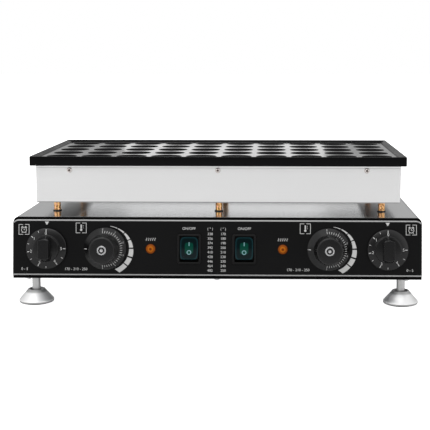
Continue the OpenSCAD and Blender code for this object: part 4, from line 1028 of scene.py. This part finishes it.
# Printed marks on the control plate: places across it and down from its top edge
inkLow, inkHigh = -0.05, 0.05
prints = []
marks = {"numberSize": 3.1, "firstNumber": 19.5, "numberStep": 5.35, "numberX": 7.65, "headDrop": 13.6, "rows": 9,
         "firstCelsius": 170, "celsiusStep": 10, "iconWidth": 12, "iconHeight": 11.6, "iconLine": 0.6, "iconGap": 2.2,
         "labelSize": 3.2, "labelDrop": 61.2, "powerX": 32.5, "powerDrop": 13.2, "heatDrop": 25.9, "timerLabelX": 226,
         "temperatureLabelX": (-165.5, 95.4), "waves": 5, "waveGap": 2.5, "waveSwing": 0.5, "waveHalf": 1.7,
         "triangle": (4.9, 4.3), "triangleDrop": 7.6}
# A clock and a thermometer: where they stand, a ring (its middle, radius and width) and bars about the same middle
# (place, size and turn in degrees)
icons = [
    {"spots": [(-227, 14.8), (227.5, 13.8)], "ring": (0, -0.5, 3.0, 0.6), "bars": [
        (0, 0.1, 0.7, 1.9, 0), (0.6, -0.5, 1.6, 0.7, 0), (-2.3, 2.9, 2.4, 1.0, 40), (2.3, 2.9, 2.4, 1.0, -40),
        (-2.2, -3.7, 0.6, 1.3, -35), (2.2, -3.7, 0.6, 1.3, 35)]},
    {"spots": [(-159.5, 12.8), (103.8, 12.8)], "ring": (0, -2.2, 0.7, 1.4), "bars": [
        (0, 1.2, 1.4, 5.6, 0), (2.3, 3.0, 1.3, 0.4, 0), (2.1, 1.5, 0.9, 0.4, 0), (2.3, 0, 1.3, 0.4, 0)]},
]


# Puts a flat mark on the control plate's face, drop millimetres down the panel
def printAt(part, x, drop):
    points, faces = part
    prints.append((onPanel(points + np.array([x, -drop, layout["controlThick"]])), faces))


# Each bar is (across, up, width, height, turn in degrees)
def printBars(rows, x, drop):
    rows = np.array(rows)
    printAt(bars(rows[:, :2], rows[:, 2:4], np.radians(rows[:, 4]), inkLow, inkHigh), x, drop)


# Two square brackets that face each other, with a gap above and below
def bracketFrame(x, drop):
    w, h, line = marks["iconWidth"] / 2, marks["iconHeight"] / 2, marks["iconLine"]
    arm = w - marks["iconGap"] / 2
    rows = [(side * w, 0, line, 2 * h + line, 0) for side in (-1, 1)]
    rows += [(sx * (w - arm / 2), sy * h, arm, line, 0) for sx in (-1, 1) for sy in (-1, 1)]
    printBars(rows, x, drop)


def triangleMark(x, drop, width, height):
    t = np.linspace(0, 1, 7)
    left = np.stack([-width / 2 * (1 - t), height / 2 - height * t], -1)
    right = left * np.array([-1, 1])
    printAt(band(left[:-1], right[:-1], inkLow, inkHigh), x, drop)


# Seven segments round the knob's right side. With t the share of the way round, the inner edge lies at
# inner + bulge * sin(pi * t), and the outer one at thin + grow * (smooth step of t) beyond it
wedge = {"segments": [(77.5, 59.5), (57.5, 40.7), (38.3, 21.5), (19.2, 2.6), (-0.5, -17), (-20.5, -36.5),
                      (-39.3, -62)],
         "inner": 26.7, "bulge": 1.4, "thin": 0.5, "grow": 5.2, "growOver": 0.75, "span": 139.5, "slant": 3}


def wedgeScale(x):
    w = wedge
    for index, (start, end) in enumerate(w["segments"]):
        slant = w["slant"] if index == len(w["segments"]) - 1 else 0
        lines = []
        for outer in (0, 1):
            a = np.linspace(start, end + (slant if outer else -slant), 7)
            t = (w["segments"][0][0] - a) / w["span"]
            grown = np.clip(t / w["growOver"], 0, 1)
            thick = w["thin"] + w["grow"] * grown ** 2 * (3 - 2 * grown)
            reach = w["inner"] + w["bulge"] * np.sin(pi * t) + outer * thick
            lines.append(around(np.radians(a)) * reach[:, None])
        printAt(band(lines[1], lines[0], inkLow, inkHigh), x, rowDrop)


# Upright heat waves side by side: each is a line whose place across follows a sine of its height
def waveMark(x, drop):
    t = np.linspace(-1, 1, 15)
    half = np.array([marks["iconLine"] / 2, 0])
    for k in range(marks["waves"]):
        across = (k - (marks["waves"] - 1) / 2) * marks["waveGap"] + marks["waveSwing"] * np.sin(t * pi)
        mid = np.stack([across, t * marks["waveHalf"]], -1)
        printAt(band(mid - half, mid + half, inkLow, inkHigh), x, drop)


def printText(text, size, x, drop):
    printAt(lettering(text, size, 0, 0, inkLow, inkHigh), x, drop)


for icon in icons:
    for spot in icon["spots"]:
        bracketFrame(*spot)
        printAt(ring(*icon["ring"], inkLow, inkHigh), *spot)
        printBars(icon["bars"], *spot)
for sign in (-1, 1):
    triangleMark(sign * layout["timerX"], marks["triangleDrop"], *marks["triangle"])
    wedgeScale(sign * layout["thermostatX"])
    waveMark(sign * layout["lampX"], marks["heatDrop"])
    printText("ON/OFF", marks["labelSize"], sign * marks["powerX"], marks["powerDrop"])
    printText("( \u00b0 )", marks["numberSize"], sign * marks["numberX"], marks["headDrop"])
    printText("0 - 5", marks["labelSize"], sign * marks["timerLabelX"], marks["labelDrop"])
for x in marks["temperatureLabelX"]:
    printText("170 - 210 - 250", marks["labelSize"], x, marks["labelDrop"])
for row in range(marks["rows"]):
    celsius = marks["firstCelsius"] + marks["celsiusStep"] * row
    drop = marks["firstNumber"] + row * marks["numberStep"]
    for sign, value in ((1, celsius), (-1, round(celsius * 1.8 + 32))):
        printText(str(value), marks["numberSize"], sign * marks["numberX"], drop)
makePiece("panelPrint", prints, whiteInk, slot="control_black", flat=True)
print("panel printed")


# Floor, light and camera
studio = {
    "floor": 0.8, "floorGlow": 1.0, "floorBehind": 0.15, "behindFrom": 0.2, "behindTo": 0.4, "floorReach": 12.0,
    "background": 1.0, "horizon": 1.25, "horizonFrom": 0.14, "horizonTo": 0.11,
    # by direction, front to back
    "sky": [(0, 0.3), (0.028, 0.32), (0.08, 1.45), (0.28, 1.25), (0.5, 0.9), (0.9, 0.4), (1, 0.39)],
    "lights": [  # name, place, size, power, what it points at
        ("backLight", (-0.07, 1.6, 0.47), (0.58, 0.4), 0.42, (-0.02, 0, 0.12)),
        ("keyLight", (-0.6, -1.6, 2.0), (1.8, 1.8), 14, (0, 0, 0.1)),
        ("topLight", (0.0, 0.6, 2.2), (2.4, 2.4), 10, (0, 0, 0.1)),
    ],
}


# White where the camera sees it, and a faint glow behind the object
def floorFinish():
    material, tree, shader = startMaterial("studioFloor", (studio["floor"],) * 3, Roughness=0.6)[:3]
    seen = node(tree, "ShaderNodeLightPath").outputs["Is Camera Ray"]
    behind = mapped(tree, placed(tree, "Y")[0], studio["behindFrom"], studio["behindTo"], 0.0, studio["floorBehind"],
                    "SMOOTHSTEP")
    shown = mathNode(tree, "MULTIPLY", seen, studio["floorGlow"])
    wire(tree, shader.inputs, {"Emission Strength": mathNode(tree, "MAXIMUM", shown, behind),
                               "Emission Color": (1, 1, 1, 1)})
    return material


floorMesh = bpy.data.meshes.new("floor")
corners = [(x * studio["floorReach"], y * studio["floorReach"], 0) for x, y in ((-1, -1), (1, -1), (1, 1), (-1, 1))]
floorMesh.from_pydata(corners, [], [(0, 1, 2, 3)])
floorMesh.materials.append(floorFinish())
floor = bpy.data.objects.new("floor", floorMesh)
bpy.context.collection.objects.link(floor)


# White where the camera sees it; for light and reflections its tone follows the direction from front to back
def studioWorld():
    world = bpy.data.worlds.new("studio")
    bpy.context.scene.world = world
    world.use_nodes = True
    tree = world.node_tree
    parts = node(tree, "ShaderNodeSeparateXYZ", {0: node(tree, "ShaderNodeTexCoord").outputs["Generated"]}).outputs
    strength = max(value for place, value in studio["sky"])
    stops = [(place, (value / strength,) * 3) for place, value in studio["sky"]]
    sky = ramped(tree, mathNode(tree, "MULTIPLY_ADD", parts["Y"], 0.5, 0.5), stops)
    # A brighter band low down behind the object
    low = mapped(tree, parts["Z"], studio["horizonFrom"], studio["horizonTo"], 0.0, studio["horizon"] - 1,
                 "SMOOTHSTEP")
    rear = mathNode(tree, "MULTIPLY", low, mathNode(tree, "MAXIMUM", parts["Y"], 0.0))
    raised = mixed(tree, 1.0, sky, mathNode(tree, "ADD", rear, 1.0), blend_type="MULTIPLY")
    seen = node(tree, "ShaderNodeLightPath").outputs["Is Camera Ray"]
    tone = mixed(tree, seen, raised, (studio["background"] / strength,) * 3 + (1,))
    wire(tree, tree.nodes["Background"].inputs, {"Color": tone, "Strength": strength})


studioWorld()
for name, place, size, power, target in studio["lights"]:
    light = bpy.data.lights.new(name, "AREA")
    light.shape = "RECTANGLE"
    light.size, light.size_y = size
    light.energy = power
    lamp = bpy.data.objects.new(name, light)
    lamp.location = place
    lamp.rotation_euler = (Vector(target) - Vector(place)).to_track_quat("-Z", "Y").to_euler()
    bpy.context.collection.objects.link(lamp)

# Camera: the photograph's place, fitted to the solids' edges
view = {"place": (63.529, -1294.444, 300.025), "yaw": -1.233, "pitch": 6.275, "roll": 0.010, "focal": 1011.885,
        "frame": 430, "shift": (-0.08, -0.12), "sensor": 36, "panelY": -121.623}
lensData = bpy.data.cameras.new("camera")
lensData.sensor_width = view["sensor"]
lensData.lens = view["sensor"] * view["focal"] / view["frame"]
lensData.shift_x, lensData.shift_y = view["shift"]
lensData.clip_start, lensData.clip_end = 0.01, 50
camera = bpy.data.objects.new("camera", lensData)
yaw, pitch, roll = (math.radians(view[k]) for k in ("yaw", "pitch", "roll"))
forward = Vector((math.sin(yaw) * math.cos(pitch), math.cos(yaw) * math.cos(pitch), -math.sin(pitch)))
right = Vector((math.cos(yaw), -math.sin(yaw), 0))
up = right.cross(forward)
right, up = right * math.cos(roll) + up * math.sin(roll), up * math.cos(roll) - right * math.sin(roll)
px, py, pz = view["place"]
camera.matrix_world = Matrix((
    (right.x, up.x, -forward.x, px * mm), (right.y, up.y, -forward.y, (py - view["panelY"] + panelTopY) * mm),
    (right.z, up.z, -forward.z, pz * mm), (0, 0, 0, 1)))
bpy.context.collection.objects.link(camera)
bpy.context.scene.camera = camera
bpy.context.scene.view_settings.view_transform = "Standard"
print("studio ready")
